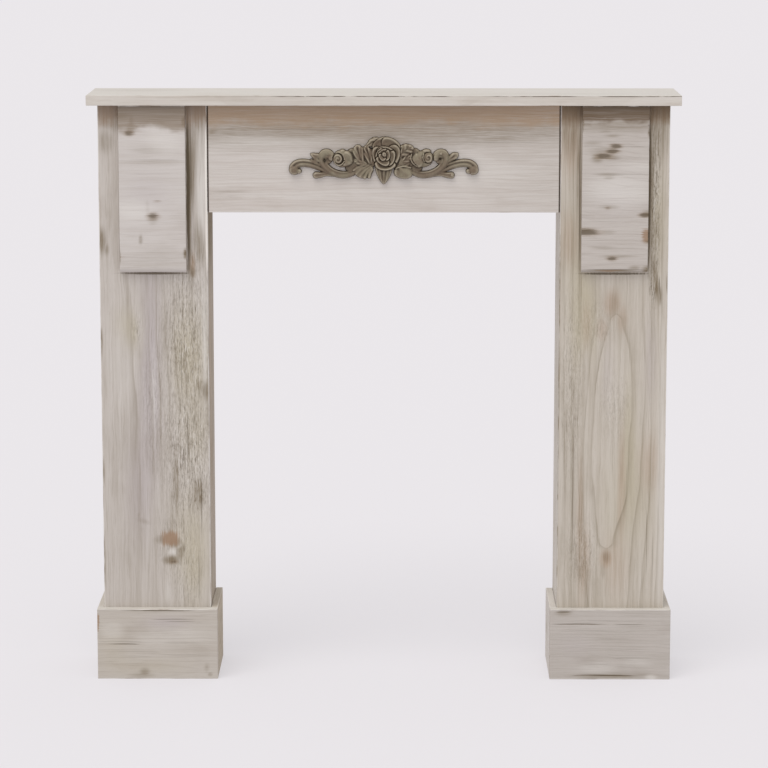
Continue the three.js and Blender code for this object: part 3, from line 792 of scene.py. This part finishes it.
make_board(
    "right_corbel_panel", "x", 79, "panel_wood", (rgb(195, 188, 182), rgb(186, 178, 172), rgb(150, 139, 128)), 2.6,
    rings=flat_sawn((640, 390, 30, 0, 0.04), 79, 9.0), gain=0.28,
    marks=[
        ("knot", 925, 391, 4.0, 11, 0.72), ("knot", 916, 385, 4.0, 12, 0.78), ("knot", 908, 370, 5.0, 15, 0.72),
        ("stain_and_shade", 904, 360, 7, 10, 0.6), ("stain_and_shade", 915, 372, 9, 24, 0.35), ("stain_and_shade", 905, 384, 4, 14, 0.5),
        ("stain_and_shade", 877, 378, 2.5, 20, 0.6), ("stain_and_shade", 871, 380, 3, 9, 0.5), ("knot", 820, 378, 3, 6.5, 0.5),
        ("stain_and_shade", 822, 380, 4, 16, 0.4), ("knot", 808, 441, 4.0, 11, 0.72), ("stain_and_shade", 811, 447, 5, 12, 0.7),
        ("knot", 779, 341, 6.5, 25, 0.7), ("stain_and_shade", 782, 338, 3.5, 18, 0.6), ("rust", 773, 447, 11, 10, 0.95),
        ("knot", 763, 447, 4, 9, 0.4), ("stain_and_shade", 779, 380, 3.5, 12, 0.3),
        ("knot", 734, 386, 4.0, 10, 0.7), ("stain_and_shade", 738, 396, 2.5, 30, 0.45), ("stain_and_shade", 718, 424, 4, 10, 0.5),
        ("stain_and_shade", 713, 446, 8, 10, 0.95), ("stain_and_shade", 712, 390, 3.5, 50, 0.7), ("rust", 712, 380, 3, 24, 0.45),
        ("stain_and_shade", 753, 370, 3, 20, 0.3), ("stain_and_shade", 930, 350, 3, 14, 0.3), ("stain_and_shade", 950, 372, 3, 16, 0.4),
        ("stain_and_shade", 942, 384, 2.5, 14, 0.4), ("pale", 850, 400, 30, 60, 0.5), ("pale", 890, 430, 10, 40, 0.35),
        ("stain_and_shade", 962, 335, 12, 3, 0.7), ("stain_and_shade", 959, 391, 11, 90, 0.42), ("stain_and_shade", 948, 447, 8, 3, 0.9), ("lilac", 840, 400, 50, 50, 0.3),
    ],
    mat=dict(
        lines=0.5, fibre=0.85, wear=0.75, rim=0.9, top=(957, 14, 0.92, rgb(104, 86, 67), 0.60),
        threads=[
            (924, 420, 0.8, 34, 0.34), (925, 350, 0.7, 20, 0.3), (877, 400, 0.8, 56, 0.3), (940, 360, 0.7, 20, 0.2),
            (932, 365, 0.7, 26, 0.2), (905, 410, 0.7, 36, 0.18), (752, 400, 0.7, 40, 0.2), (765, 380, 0.7, 46, 0.18),
            (715, 390, 1.0, 50, 0.6), (797, 365, 0.7, 30, 0.15),
        ],
    ),
    chips=[
        (334, -74, 978, 6, 2.8), (334, -74, 964, 5, 3.6), (334, -74, 950, 6, 3.0), (334, -74, 938, 4, 1.8),
        (446, -74, 972, 5, 2.2), (446, -74, 958, 5, 4.0), (446, -74, 947, 5, 3.4), (446, -74, 920, 7, 1.6),
        (446, -74, 774, 8, 1.6), (446, -74, 716, 8, 2.6), (334, -74, 880, 8, 0.8),
    ],
    nose=7.0, rough=0.3, dents=16,
)


# ---------------------------------------------------------------- ornament
# Its own frame: u right and w up from the middle of the rose, mm, relief towards the viewer.
ORN_Z, ORN_Y = 911.0, -60.3
STEP = 0.6


def dome(f, height, edge):
    """A height that rises as a quarter round over `edge` mm from where f is 0."""
    k = np.clip(f / edge, 0, 1)
    return height * np.sqrt(np.clip(1 - (1 - k) ** 2, 0, 1))


class Relief:
    """Heights over a grid, and how far inside the outline each point is."""

    def __init__(self, u, w):
        self.u, self.w = u, w
        self.inside = np.full(u.shape, -50.0)
        self.height = np.zeros(u.shape)

    def add(self, f, h):
        h = np.where(f > 0, h, 0)
        self.height = np.maximum(self.height, h)
        self.inside = np.maximum(self.inside, f)

    def over(self, f, h):
        """Lays a shape on top of what is there, as a petal covers those behind it."""
        self.height = np.where(f > 0, h, self.height)
        self.inside = np.maximum(self.inside, f)

    def local(self, u, w, turn):
        c, s = math.cos(turn), math.sin(turn)
        return (self.u - u) * c + (self.w - w) * s, -(self.u - u) * s + (self.w - w) * c

    def ball(self, u, w, ru, rw, height, turn=0.0, edge=None):
        a, b = self.local(u, w, turn)
        a, b = a / ru, b / rw
        rho = np.sqrt(a * a + b * b)
        f = (1 - rho) * min(ru, rw)
        self.add(f, dome(f, height, edge or min(ru, rw)))
        return a, b, rho, f

    def spine(self, points, n=110):
        """A smooth line through [u, w, r] points, as arrays."""
        p = np.array(points, float)
        t = np.linspace(0, len(p) - 1, n)
        i = np.clip(t.astype(int), 0, len(p) - 2)
        s = (t - i)[:, None]
        p0, p1 = p[np.maximum(i - 1, 0)], p[i]
        p2, p3 = p[i + 1], p[np.minimum(i + 2, len(p) - 1)]
        return 0.5 * (
            2 * p1 + (p2 - p0) * s + (2 * p0 - 5 * p1 + 4 * p2 - p3) * s**2
            + (3 * p1 - p0 - 3 * p2 + p3) * s**3
        )

    def stem(self, points, grooves=(), rise=(6.0, 9.0), square=0.8, top=False):
        """A bar along a line, with channels cut along it: (share of its half width, depth, width).
        rise is its height at the start and the end."""
        line = self.spine(points)
        best = np.full(self.u.shape, -50.0)
        side, part, wide = np.zeros(self.u.shape), np.zeros(self.u.shape), np.ones(self.u.shape)
        for k in range(len(line) - 1):
            a, b = line[k], line[k + 1]
            d = b[:2] - a[:2]
            n2 = max(d @ d, 1e-9)
            s = np.clip(((self.u - a[0]) * d[0] + (self.w - a[1]) * d[1]) / n2, 0, 1)
            r = a[2] + (b[2] - a[2]) * s
            du, dw = self.u - (a[0] + d[0] * s), self.w - (a[1] + d[1] * s)
            f = r - np.sqrt(du * du + dw * dw)
            new = f > best
            best = np.where(new, f, best)
            side = np.where(new, (d[0] * dw - d[1] * du) / math.sqrt(n2), side)
            wide = np.where(new, r, wide)
            part = np.where(new, (k + s) / (len(line) - 1), part)
        tall = rise[0] + (rise[1] - rise[0]) * part
        h = dome(best, 1.0, np.maximum(wide * square, 1.0)) * tall
        for where, depth, width in grooves:
            h = h - np.exp(-(((side / wide - where) / width) ** 2)) * depth * np.clip(best / 2.2, 0, 1)
        (self.over if top else self.add)(best, np.maximum(h, 0.6))

    def leaf(self, base, tip, width, height, veins=5, vein=0.8, bend=0.0, fold=1.4, full=0.5, lean=1.1, tilt=0.0, top=False):
        """A leaf with a sunk midrib and slanting veins. `full` is how far along it is widest."""
        a, b = np.array(base, float), np.array(tip, float)
        d = b - a
        length = float(np.hypot(*d))
        d /= length
        s = ((self.u - a[0]) * d[0] + (self.w - a[1]) * d[1]) / length
        c = -(self.u - a[0]) * d[1] + (self.w - a[1]) * d[0]
        c = c - bend * np.sin(np.pi * np.clip(s, 0, 1))
        k = math.log(0.5) / math.log(max(1 - full, 0.05))
        half = width / 2 * np.sin(np.pi * np.clip(1 - np.clip(1 - s, 0, 1) ** k, 0, 1)) ** 0.75
        # the rim is nicked between the veins
        beat = np.cos(2 * np.pi * (s * veins - np.abs(c) / length * veins * lean))
        f = half + 0.35 * beat - np.abs(c)
        f = np.where((s < 0) | (s > 1), -np.maximum(-s, s - 1) * length, f)
        h = dome(f, height + tilt * (s - 0.5), min(width / 2, 4.0))
        h = h - fold * np.exp(-((c / 1.2) ** 2)) * np.clip(f / 2, 0, 1)
        h = h + vein * (beat - 0.4) * np.clip(f / 1.5, 0, 1) * np.clip(np.abs(c) / 1.5, 0, 1)
        (self.over if top else self.add)(f, h)

    def shell(self, u, w, ru, rw, height, root, ribs=8.0, vein=1.1, turn=0.0, fall=0.25, top=False):
        """A fan of ribs that spread from a root, given as (share along, share across)."""
        a, b = self.local(u, w, turn)
        a, b = a / ru, b / rw
        theta = np.arctan2(b - root[1], a - root[0])
        wave = np.cos(theta * ribs)
        rho = np.sqrt(a * a + b * b)
        f = (1 + 0.045 * wave - rho) * min(ru, rw)
        away = np.hypot(a - root[0], b - root[1])
        h = dome(f, height, min(ru, rw) * 0.38) * (1 - fall + fall * np.clip(away, 0, 1.2))
        h = h + vein * (wave - 0.3) * np.clip(f / 1.8, 0, 1) * np.clip(away * 1.6 - 0.2, 0, 1)
        (self.over if top else self.add)(f, h)

    def petal(self, u, w, deg, out, ru, rw, low, lip, wave=0.03, roll=0.34):
        """A cupped petal laid over those behind: sunk inside, with a rolled outer lip."""
        angle = math.radians(deg)
        a, b = self.local(u + out * math.cos(angle), w + out * math.sin(angle), angle)
        a, b = a / ru, b / rw
        rho = np.sqrt(a * a + b * b) * (1 + wave * np.cos(3 * np.arctan2(b, a) + deg))
        f = (1 - rho) * min(ru, rw)
        outer = np.clip((rho - (1 - roll * 1.6)) / roll, 0, 1) * np.clip(a * 1.4 + 0.75, 0, 1)
        h = (low - 1.1 * np.clip(1 - rho, 0, 1) + lip * outer * outer * (3 - 2 * outer))
        h = h * np.clip(np.sqrt(np.clip(f / 1.1, 0, 1)), 0, 1)
        self.over(f, np.maximum(h, 0.6))

    def coil(self, u, w, ru, rw, height, turns=2.0, depth=1.1, phase=0.0, turn=0.0, edge=4.0):
        """A ball with a spiral ridge."""
        a, b = self.local(u, w, turn)
        a, b = a / ru, b / rw
        rho = np.sqrt(a * a + b * b)
        f = (1 - rho) * min(ru, rw)
        ridge = np.cos(np.arctan2(b, a) + phase + 2 * np.pi * turns * rho)
        self.over(f, dome(f, height, edge) + depth * ridge * np.clip(f / 1.4, 0, 1) * np.clip(rho * 5, 0, 1))


def model_half(r, sign):
    """The scrolls, bud and leaves of one side. The two sides differ a little, as in the casting."""
    left = sign < 0
    keep_u = r.u
    r.u = r.u * sign
    # low ground that joins the leaves, the bud and the rose
    r.ball(33, -8, 24, 20, 5.2, edge=4)
    r.ball(33, -27, 16, 13, 5.0, edge=4)
    r.ball(52, -22, 14, 10, 4.6, turn=-0.3, edge=4)
    r.ball(50, -2, 14, 12, 5.0, edge=4)
    # arm that ends in a hook with a lobed tip
    r.stem(
        [[84, -35, 4.0], [93, -31, 5.4], [103, -25, 6.4], [113, -20.5, 7.0], [124, -17.2, 7.2], [136, -15.8, 7.2],
         [145.5, -17.6, 7.6], [151.5, -23.5, 8.2], [150.5, -29, 7.6]],
        grooves=((0.18, 2.6, 0.26), (-0.62, 0.7, 0.14)), rise=(5.6, 9.2),
    )
    r.ball(151.6, -27.8, 8.8, 8.6, 9.8, edge=6)
    r.ball(143.8, -29.6, 5.6, 5.0, 8.2, edge=4)
    # thorn leaf in the fork
    if left:
        r.leaf((103, -15), (124.8, 0.4), 14.5, 7.8, veins=1.5, vein=0.3, bend=1.5, fold=1.2, full=0.45, lean=2.0)
        r.leaf((104, -22), (124.0, -9.0), 9, 6.8, veins=2, vein=0.3, full=0.5, fold=0.8)
    else:
        r.leaf((102, -17), (125.8, 0.8), 13.5, 7.8, veins=2, vein=0.5, bend=0.5, fold=1.4, full=0.6, lean=1.5)
        r.ball(123.4, -3.2, 3.4, 3.8, 6.6, edge=2.4)
    # lobe below the fork
    r.stem([[84, -36, 3.6], [97, -34.6, 4.2], [106, -36.0, 5.2], [114.0, -36.6, 6.2]], grooves=((0.0, 0.9, 0.3),), rise=(5.0, 7.4))
    if not left:
        r.ball(115.0, -36.4, 3.4, 3.4, 8.4, edge=2.6)
    # main stem, which rises and rolls over into the volute
    r.stem(
        [[40, -25, 3.4], [50, -31.5, 5.2], [62, -35.4, 6.2], [74, -35.2, 6.6], [85, -31.8, 6.6], [95, -25.0, 6.8],
         [101.6, -16.5, 7.8], [103.4, -8.0, 8.6], [100.2, -1.6, 9.0], [94.6, -0.4, 8.6], [90.0, -3.0, 7.6], [88.6, -6.4, 6.6]],
        grooves=((0.34, 1.7, 0.22), (-0.62, 0.7, 0.12)), rise=(6.0, 10.4), square=0.75,
    )
    r.ball(88.0, -6.6, 7.0, 6.6, 10.8, edge=5)
    r.ball(95.0, -9.5, 9.0, 8.6, 5.6, edge=3)
    if left:  # the hollow of the roll
        r.height = np.where(r.height > 3.4, r.height - 4.6 * np.exp(-(((r.u - 99.5) / 3.2) ** 2) - ((r.w + 11.5) / 4.0) ** 2), r.height)
    else:
        r.ball(96.6, 0.4, 3.2, 3.2, 11.8, edge=2.2)
        r.height = np.where(r.height > 3.4, r.height - 3.2 * np.exp(-(((r.u - 95.5) / 5.0) ** 2) - ((r.w + 8.0) / 2.6) ** 2), r.height)
    # rosebud: sepals towards the rose, and a coiled heart on the far side
    if left:
        r.ball(70.0, -8.4, 16.2, 15.4, 10.0, edge=9)
        r.ball(69.5, 3.6, 6.0, 4.4, 8.6, edge=4)
        r.shell(63.5, -8.8, 13.4, 13.8, 11.4, (-0.9, -0.5), ribs=6.0, vein=0.9)
        r.coil(77.0, -9.2, 9.4, 10.4, 11.6, turns=1.9, depth=1.25, phase=2.4, edge=5.5)
        r.stem([[83.2, -15.6, 1.4], [76, -19.4, 1.9], [69.5, -16.6, 1.7], [66, -12.0, 1.2]], rise=(12.0, 12.6), top=True)
    else:
        r.ball(66.0, -9.0, 17.4, 14.6, 9.6, edge=9)
        r.ball(72.0, 3.6, 8.4, 5.0, 9.0, edge=4)
        r.shell(58.0, -10.2, 12.2, 13.2, 11.6, (-0.4, 1.1), ribs=5.0, vein=0.7)
        r.coil(75.2, -6.6, 9.2, 9.8, 11.8, turns=1.7, depth=1.2, phase=0.4, edge=5.0)
        r.stem([[67.5, 0.5, 1.1], [66.0, -6.5, 1.6], [68.5, -13.5, 1.2]], rise=(12.4, 12.8), top=True)
        r.stem([[47.0, 0.0, 1.2], [45.6, -8.0, 1.9], [49.8, -16.0, 1.9], [57.0, -21.5, 1.2]], rise=(9.5, 10.5), top=True)
    # leaves between the bud and the rose
    if left:
        r.leaf((34, -20), (45.5, 15.2), 21, 9.0, veins=2, vein=0.7, bend=-1.5, fold=2.3, full=0.62, lean=3.2)
        r.leaf((22, -20), (31.5, 14.4), 17, 8.6, veins=2, vein=0.8, bend=1.5, fold=2.6, full=0.55, lean=3.0)
        r.leaf((17, -22), (24, 6), 9, 8.0, veins=2, vein=0.5, bend=1.0, fold=1.2, lean=2.0)
        r.leaf((26, -19), (53, -10), 13, 8.8, veins=3, vein=0.6, fold=1.3, lean=2.2)
    else:
        r.leaf((24, -9), (49.5, 12.5), 22, 9.4, veins=3.5, vein=1.4, bend=3.5, fold=1.5, full=0.62, lean=0.8)
        r.leaf((24, -19), (50, -3.5), 15, 9.0, veins=3, vein=1.1, bend=1.2, fold=1.4, full=0.55, lean=1.6)
        r.leaf((20, -24), (47.5, -14.0), 12, 8.4, veins=2, vein=0.7, fold=1.2, lean=2.2)
    # fan leaf below them: fingers that run down and outwards
    fingers = (
        [((19, -26), (24.5, -39.6), 3.9), ((20, -23.5), (32.0, -40.2), 4.0), ((22, -21.5), (39.6, -38.0), 4.0),
         ((25, -19.5), (46.0, -33.6), 3.8), ((30, -18.5), (50.5, -28.0), 3.3)]
        if left
        else []
    )
    if left:
        r.ball(36.5, -30.5, 15.5, 11.5, 7.0, turn=0.35, edge=4)
    else:
        r.ball(34.0, -30.6, 15.5, 12.0, 7.4, turn=0.2, edge=4)
        r.shell(33.6, -31.0, 16.4, 12.6, 10.0, (-0.7, 1.0), ribs=7.0, vein=1.35)
    for k, ((u0, w0), (u1, w1), rad) in enumerate(fingers):
        mid = ((u0 + u1) / 2 + 1.2, (w0 + w1) / 2 + 0.8)
        tall = 9.6 - 0.35 * k if left else 9.4 - 0.2 * k
        r.stem([[u0, w0, rad * 0.6], [*mid, rad * 0.95], [u1, w1, rad * 0.85]], grooves=((0.1, 0.5, 0.2),) if left else (), rise=(tall - 1.0, tall), square=1.0)
    if not left:
        r.stem([[21.0, -24.5, 1.4], [33.0, -21.0, 1.9], [45.5, -23.5, 1.4]], rise=(10.2, 10.2))
    r.u = keep_u


def ornament_heights(u, w):
    r = Relief(u, w)
    model_half(r, 1)
    model_half(r, -1)
    # long leaf behind the rose at the upper left, and a small one at its top
    r.leaf((4, 16), (-32.5, 8.5), 14.5, 8.2, veins=3, vein=0.5, bend=-8.5, fold=2.4, full=0.5, lean=2.5)
    r.leaf((-1, 21), (-22.5, 25.0), 7.5, 7.4, veins=3, vein=0.4, bend=-1.5, fold=1.0)
    # drooping leaf below the rose: ribs that run down to a blunt point
    k = r.w + 20
    drop = np.clip(-k / 32.5, 0, 1)
    half = 15.6 * np.clip(1 - drop**1.6, 0, 1) ** 0.7
    f = half - np.abs(r.u - 0.2)
    f = np.where(k > 0, -k, f)
    f = np.where(r.w < -52.6, -1.0, f)
    across = (r.u - 0.2) / (half + 2.0)
    ribs = np.cos(2 * np.pi * across * 2.4)
    h = dome(f, 8.4 - 1.4 * drop, 4.0) + 1.25 * (ribs - 0.2) * np.clip(f / 1.6, 0, 1) * (1 - 0.45 * drop)
    r.add(f, h)
    # the rose: broad petals that lean back at the top, a cup of petals below, and a coiled heart
    r.ball(3.0, 0.5, 23.5, 27.5, 6.2, edge=5)
    for deg, out, ru, rw, low, lip in (
        (112, 17.0, 12.0, 17.0, 5.8, 1.8),
        (56, 16.5, 12.6, 18.5, 6.6, 2.0),
        (195, 12.0, 11.5, 16.5, 7.0, 2.8),
        (347, 12.5, 12.6, 20.0, 7.8, 3.2),
        (268, 18.2, 10.4, 18.6, 8.6, 3.6),
    ):
        r.petal(3.0, 0.0, deg, out, ru, rw, low, lip)
    for deg, out, ru, rw, low, lip in (
        (84, 8.6, 8.2, 16.5, 7.6, 2.6),
        (165, 8.8, 7.8, 12.5, 8.4, 2.2),
        (338, 9.2, 8.6, 14.5, 9.0, 2.8),
        (246, 8.0, 8.2, 13.0, 9.6, 2.8),
    ):
        r.petal(2.4, -4.2, deg, out, ru, rw, low, lip, wave=0.05)
    for deg, out, ru, rw, low, lip in (
        (112, 5.0, 5.8, 10.0, 9.8, 1.8),
        (350, 4.8, 5.6, 10.5, 10.6, 2.0),
        (228, 4.8, 5.6, 8.0, 11.3, 1.7),
    ):
        r.petal(1.0, -2.0, deg, out, ru, rw, low, lip, wave=0.07)
    r.coil(0.8, -1.0, 4.6, 5.2, 12.8, turns=1.2, depth=0.8, phase=1.0, turn=0.5, edge=2.4)
    rng = np.random.default_rng(5)
    h = r.height
    for k in range(6):  # slight unevenness of the casting
        au, aw, ph = rng.normal(size=3) * (0.25, 0.25, 3)
        h = h + 0.08 * np.sin(r.u * au + r.w * aw + ph)
    return r.inside, np.clip(h, 0.4, 13.8)


def make_ornament():
    us = np.arange(-165, 165 + STEP, STEP)
    ws = np.arange(-56, 34 + STEP, STEP)
    u, w = np.meshgrid(us, ws, indexing="ij")
    inside, height = ornament_heights(u, w)
    # soften single-cell steps, then ease the outline down to the board
    for _ in range(2):
        pad = np.pad(height, 1, mode="edge")
        soft = sum(pad[i : i + height.shape[0], j : j + height.shape[1]] for i in range(3) for j in range(3)) / 9
        height = 0.5 * height + 0.5 * soft
    height = height * np.clip(np.sqrt(np.clip(inside / 1.4, 0, 1)) * 0.65 + 0.35, 0, 1)

    # cavity: how far a point lies below what surrounds it
    def blur(a, n):
        k = np.exp(-((np.arange(-2 * n, 2 * n + 1) / n) ** 2))
        k /= k.sum()
        a = np.apply_along_axis(lambda v: np.convolve(np.pad(v, 2 * n, mode="edge"), k, "valid"), 0, a)
        return np.apply_along_axis(lambda v: np.convolve(np.pad(v, 2 * n, mode="edge"), k, "valid"), 1, a)

    solid_h = np.where(inside > 0, height, 0)
    cavity = solid_h - blur(solid_h, max(2, int(2.4 / STEP)))

    nu, nw = u.shape
    verts, extra, ids = [], [], {}

    def corner(i, j):
        key = (i, j)
        if key not in ids:
            ids[key] = len(verts)
            verts.append((us[i], ws[j], height[i, j]))
            extra.append(cavity[i, j])
        return ids[key]

    def crossing(i0, j0, i1, j1):
        key = (i0, j0, i1, j1) if (i0, j0) < (i1, j1) else (i1, j1, i0, j0)
        if key not in ids:
            a, b = inside[i0, j0], inside[i1, j1]
            s = min(max(a / (a - b), 0.02), 0.98)
            ids[key] = len(verts)
            verts.append((us[i0] + (us[i1] - us[i0]) * s, ws[j0] + (ws[j1] - ws[j0]) * s, 0.0))
            extra.append(-2.0)
        return ids[key]

    faces = []
    on = inside > 0
    full = on[:-1, :-1] & on[1:, :-1] & on[1:, 1:] & on[:-1, 1:]
    some = (on[:-1, :-1] | on[1:, :-1] | on[1:, 1:] | on[:-1, 1:]) & ~full
    for i, j in np.argwhere(full):
        faces.append((corner(i, j), corner(i + 1, j), corner(i + 1, j + 1), corner(i, j + 1)))
    for i, j in np.argwhere(some):
        ring = [(i, j), (i + 1, j), (i + 1, j + 1), (i, j + 1)]
        state = [on[c] for c in ring]
        if state in ([True, False, True, False], [False, True, False, True]):
            # two opposite corners inside: two separate triangles
            for k in range(4):
                if state[k]:
                    c, nxt, prv = ring[k], ring[(k + 1) % 4], ring[k - 1]
                    faces.append((corner(*c), crossing(*c, *nxt), crossing(*c, *prv)))
            continue
        loop = []
        for k in range(4):
            c, nxt = ring[k], ring[(k + 1) % 4]
            if on[c]:
                loop.append(corner(*c))
            if on[c] != on[nxt]:
                loop.append(crossing(*c, *nxt))
        faces.append(tuple(loop))
    # the flat back is the same faces, turned round, in the plane of the board
    count = len(verts)
    edge = {v for k, v in ids.items() if len(k) == 4}
    back = {}
    for f in list(faces):
        new = []
        for v in f:
            if v in edge:
                new.append(v)
            else:
                if v not in back:
                    back[v] = len(verts)
                    verts.append((verts[v][0], verts[v][1], 0.0))
                    extra.append(0.0)
                new.append(back[v])
        faces.append(tuple(new[::-1]))
    v = np.array(verts)
    world = np.stack([v[:, 0], ORN_Y - v[:, 2], ORN_Z + v[:, 1]], 1) * MM
    mesh = bpy.data.meshes.new("frieze_ornament_cast")
    mesh.from_pydata(world.tolist(), [], faces)
    mesh.update()
    mesh.shade_smooth()
    for name, values in (("cavity", extra), ("relief", v[:, 2])):
        layer = mesh.attributes.new(name, "FLOAT", "POINT")
        layer.data.foreach_set("value", np.asarray(values, np.float32))
    obj = bpy.data.objects.new("frieze_ornament_cast", mesh)
    bpy.context.scene.collection.objects.link(obj)
    return obj


def cast_paint():
    """Grey-brown paint, dark in the hollows and rubbed pale on the high parts."""
    t = Tree("cast_paint")
    x, y, z = [v * 1000.0 for v in t.place()]
    cavity, relief = t.attribute("cavity"), t.attribute("relief")
    blot = t.noise(t.vec(x * 0.030, y * 0.03, z * 0.030), 1.0, 3.0, 0.6)
    grit = t.noise(t.vec(x * 0.6, y * 0.6, z * 0.6), 1.0, 3.0, 0.65)
    colour = t.mix(t.smooth(blot, 0.42, 0.58), rgb(131, 122, 103), rgb(113, 98, 82))
    colour = t.mix(t.smooth(relief, 9.5, 3.5) * 0.45, colour, rgb(98, 84, 69))
    out_from_rose = t.math("SQRT", x * x + (z - ORN_Z) * (z - ORN_Z))
    colour = t.mix(t.smooth(out_from_rose, 48.0, 20.0) * 0.55, colour, rgb(108, 92, 76))
    high = t.smooth(cavity + grit * 1.3 - 0.65, 0.25, 1.4)
    colour = t.mix(high * 0.75, colour, rgb(170, 160, 141))
    low = t.smooth(cavity + grit * 0.5 - 0.25, -0.05, -0.9)
    colour = t.mix(low * 0.88, colour, rgb(58, 48, 38))
    foot = t.smooth(relief, 4.2, 0.6)
    colour = t.mix(foot * 0.88, colour, rgb(60, 50, 40))
    colour = t.mix(t.smooth(grit, 0.56, 0.68) * 0.45, colour, rgb(84, 71, 57))
    colour = t.mix(t.smooth(grit, 0.43, 0.33) * 0.30, colour, rgb(158, 148, 128))
    shade = t.node("ShaderNodeBsdfPrincipled")
    t.put(shade.inputs["Base Color"], colour)
    t.put(shade.inputs["Roughness"], t.smooth(high, 0.0, 1.0, 0.62, 0.46) + grit * 0.1)
    shade.inputs["Specular IOR Level"].default_value = 0.45
    bump = t.node("ShaderNodeBump")
    bump.inputs["Strength"].default_value = 0.35
    bump.inputs["Distance"].default_value = 0.0006
    t.put(bump.inputs["Height"], grit)
    t.nt.links.new(bump.outputs[0], shade.inputs["Normal"])
    out = t.node("ShaderNodeOutputMaterial")
    t.nt.links.new(shade.outputs[0], out.inputs["Surface"])
    return t.material


install(make_ornament(), "frieze_ornament", cast_paint())


# ---------------------------------------------------------------- floor and light
def make_stage():
    mesh = bpy.data.meshes.new("floor")
    n, half = 8, 60.0
    xs = np.linspace(-half, half, n + 1)
    verts = [(x, y, 0.0) for y in xs for x in xs]
    faces = [
        (j * (n + 1) + i, j * (n + 1) + i + 1, (j + 1) * (n + 1) + i + 1, (j + 1) * (n + 1) + i)
        for j in range(n)
        for i in range(n)
    ]
    mesh.from_pydata(verts, [], faces)
    floor = bpy.data.objects.new("floor", mesh)
    bpy.context.scene.collection.objects.link(floor)
    t = Tree("floor_paint")
    shade = t.node("ShaderNodeBsdfPrincipled")
    shade.inputs["Base Color"].default_value = FLOOR_BASE
    shade.inputs["Roughness"].default_value = 0.9
    shade.inputs["Specular IOR Level"].default_value = 0.0
    shade.inputs["Emission Color"].default_value = FLOOR_GLOW
    shade.inputs["Emission Strength"].default_value = 1.0
    out = t.node("ShaderNodeOutputMaterial")
    t.nt.links.new(shade.outputs[0], out.inputs["Surface"])
    mesh.materials.append(t.material)

    world = bpy.data.worlds.new("studio")
    bpy.context.scene.world = world
    world.use_nodes = True
    world.node_tree.nodes["Background"].inputs[0].default_value = (1.0, 0.992, 0.98, 1)
    world.node_tree.nodes["Background"].inputs[1].default_value = WORLD

    def sun(name, azimuth, elevation, strength, angle, colour=(1, 0.985, 0.96)):
        """azimuth 0 shines from the front, and more than 0 from the right."""
        light = bpy.data.lights.new(name, "SUN")
        light.energy = strength
        light.angle = math.radians(angle)
        light.color = colour
        obj = bpy.data.objects.new(name, light)
        bpy.context.scene.collection.objects.link(obj)
        a, e = math.radians(azimuth), math.radians(elevation)
        d = Vector((math.sin(a) * math.cos(e), -math.cos(a) * math.cos(e), math.sin(e)))
        obj.rotation_mode = "QUATERNION"
        obj.rotation_quaternion = (-d).to_track_quat("-Z", "Y")
        return obj

    sun("key", -26, 62, KEY, 44)


WORLD, KEY = 0.76, 1.35
# the floor partly glows, so that shadows on it stay faint
FLOOR_BASE = (0.330, 0.320, 0.330, 1.0)
FLOOR_GLOW = (0.452, 0.441, 0.460, 1.0)
make_stage()
bpy.context.scene.view_settings.view_transform = "Standard"
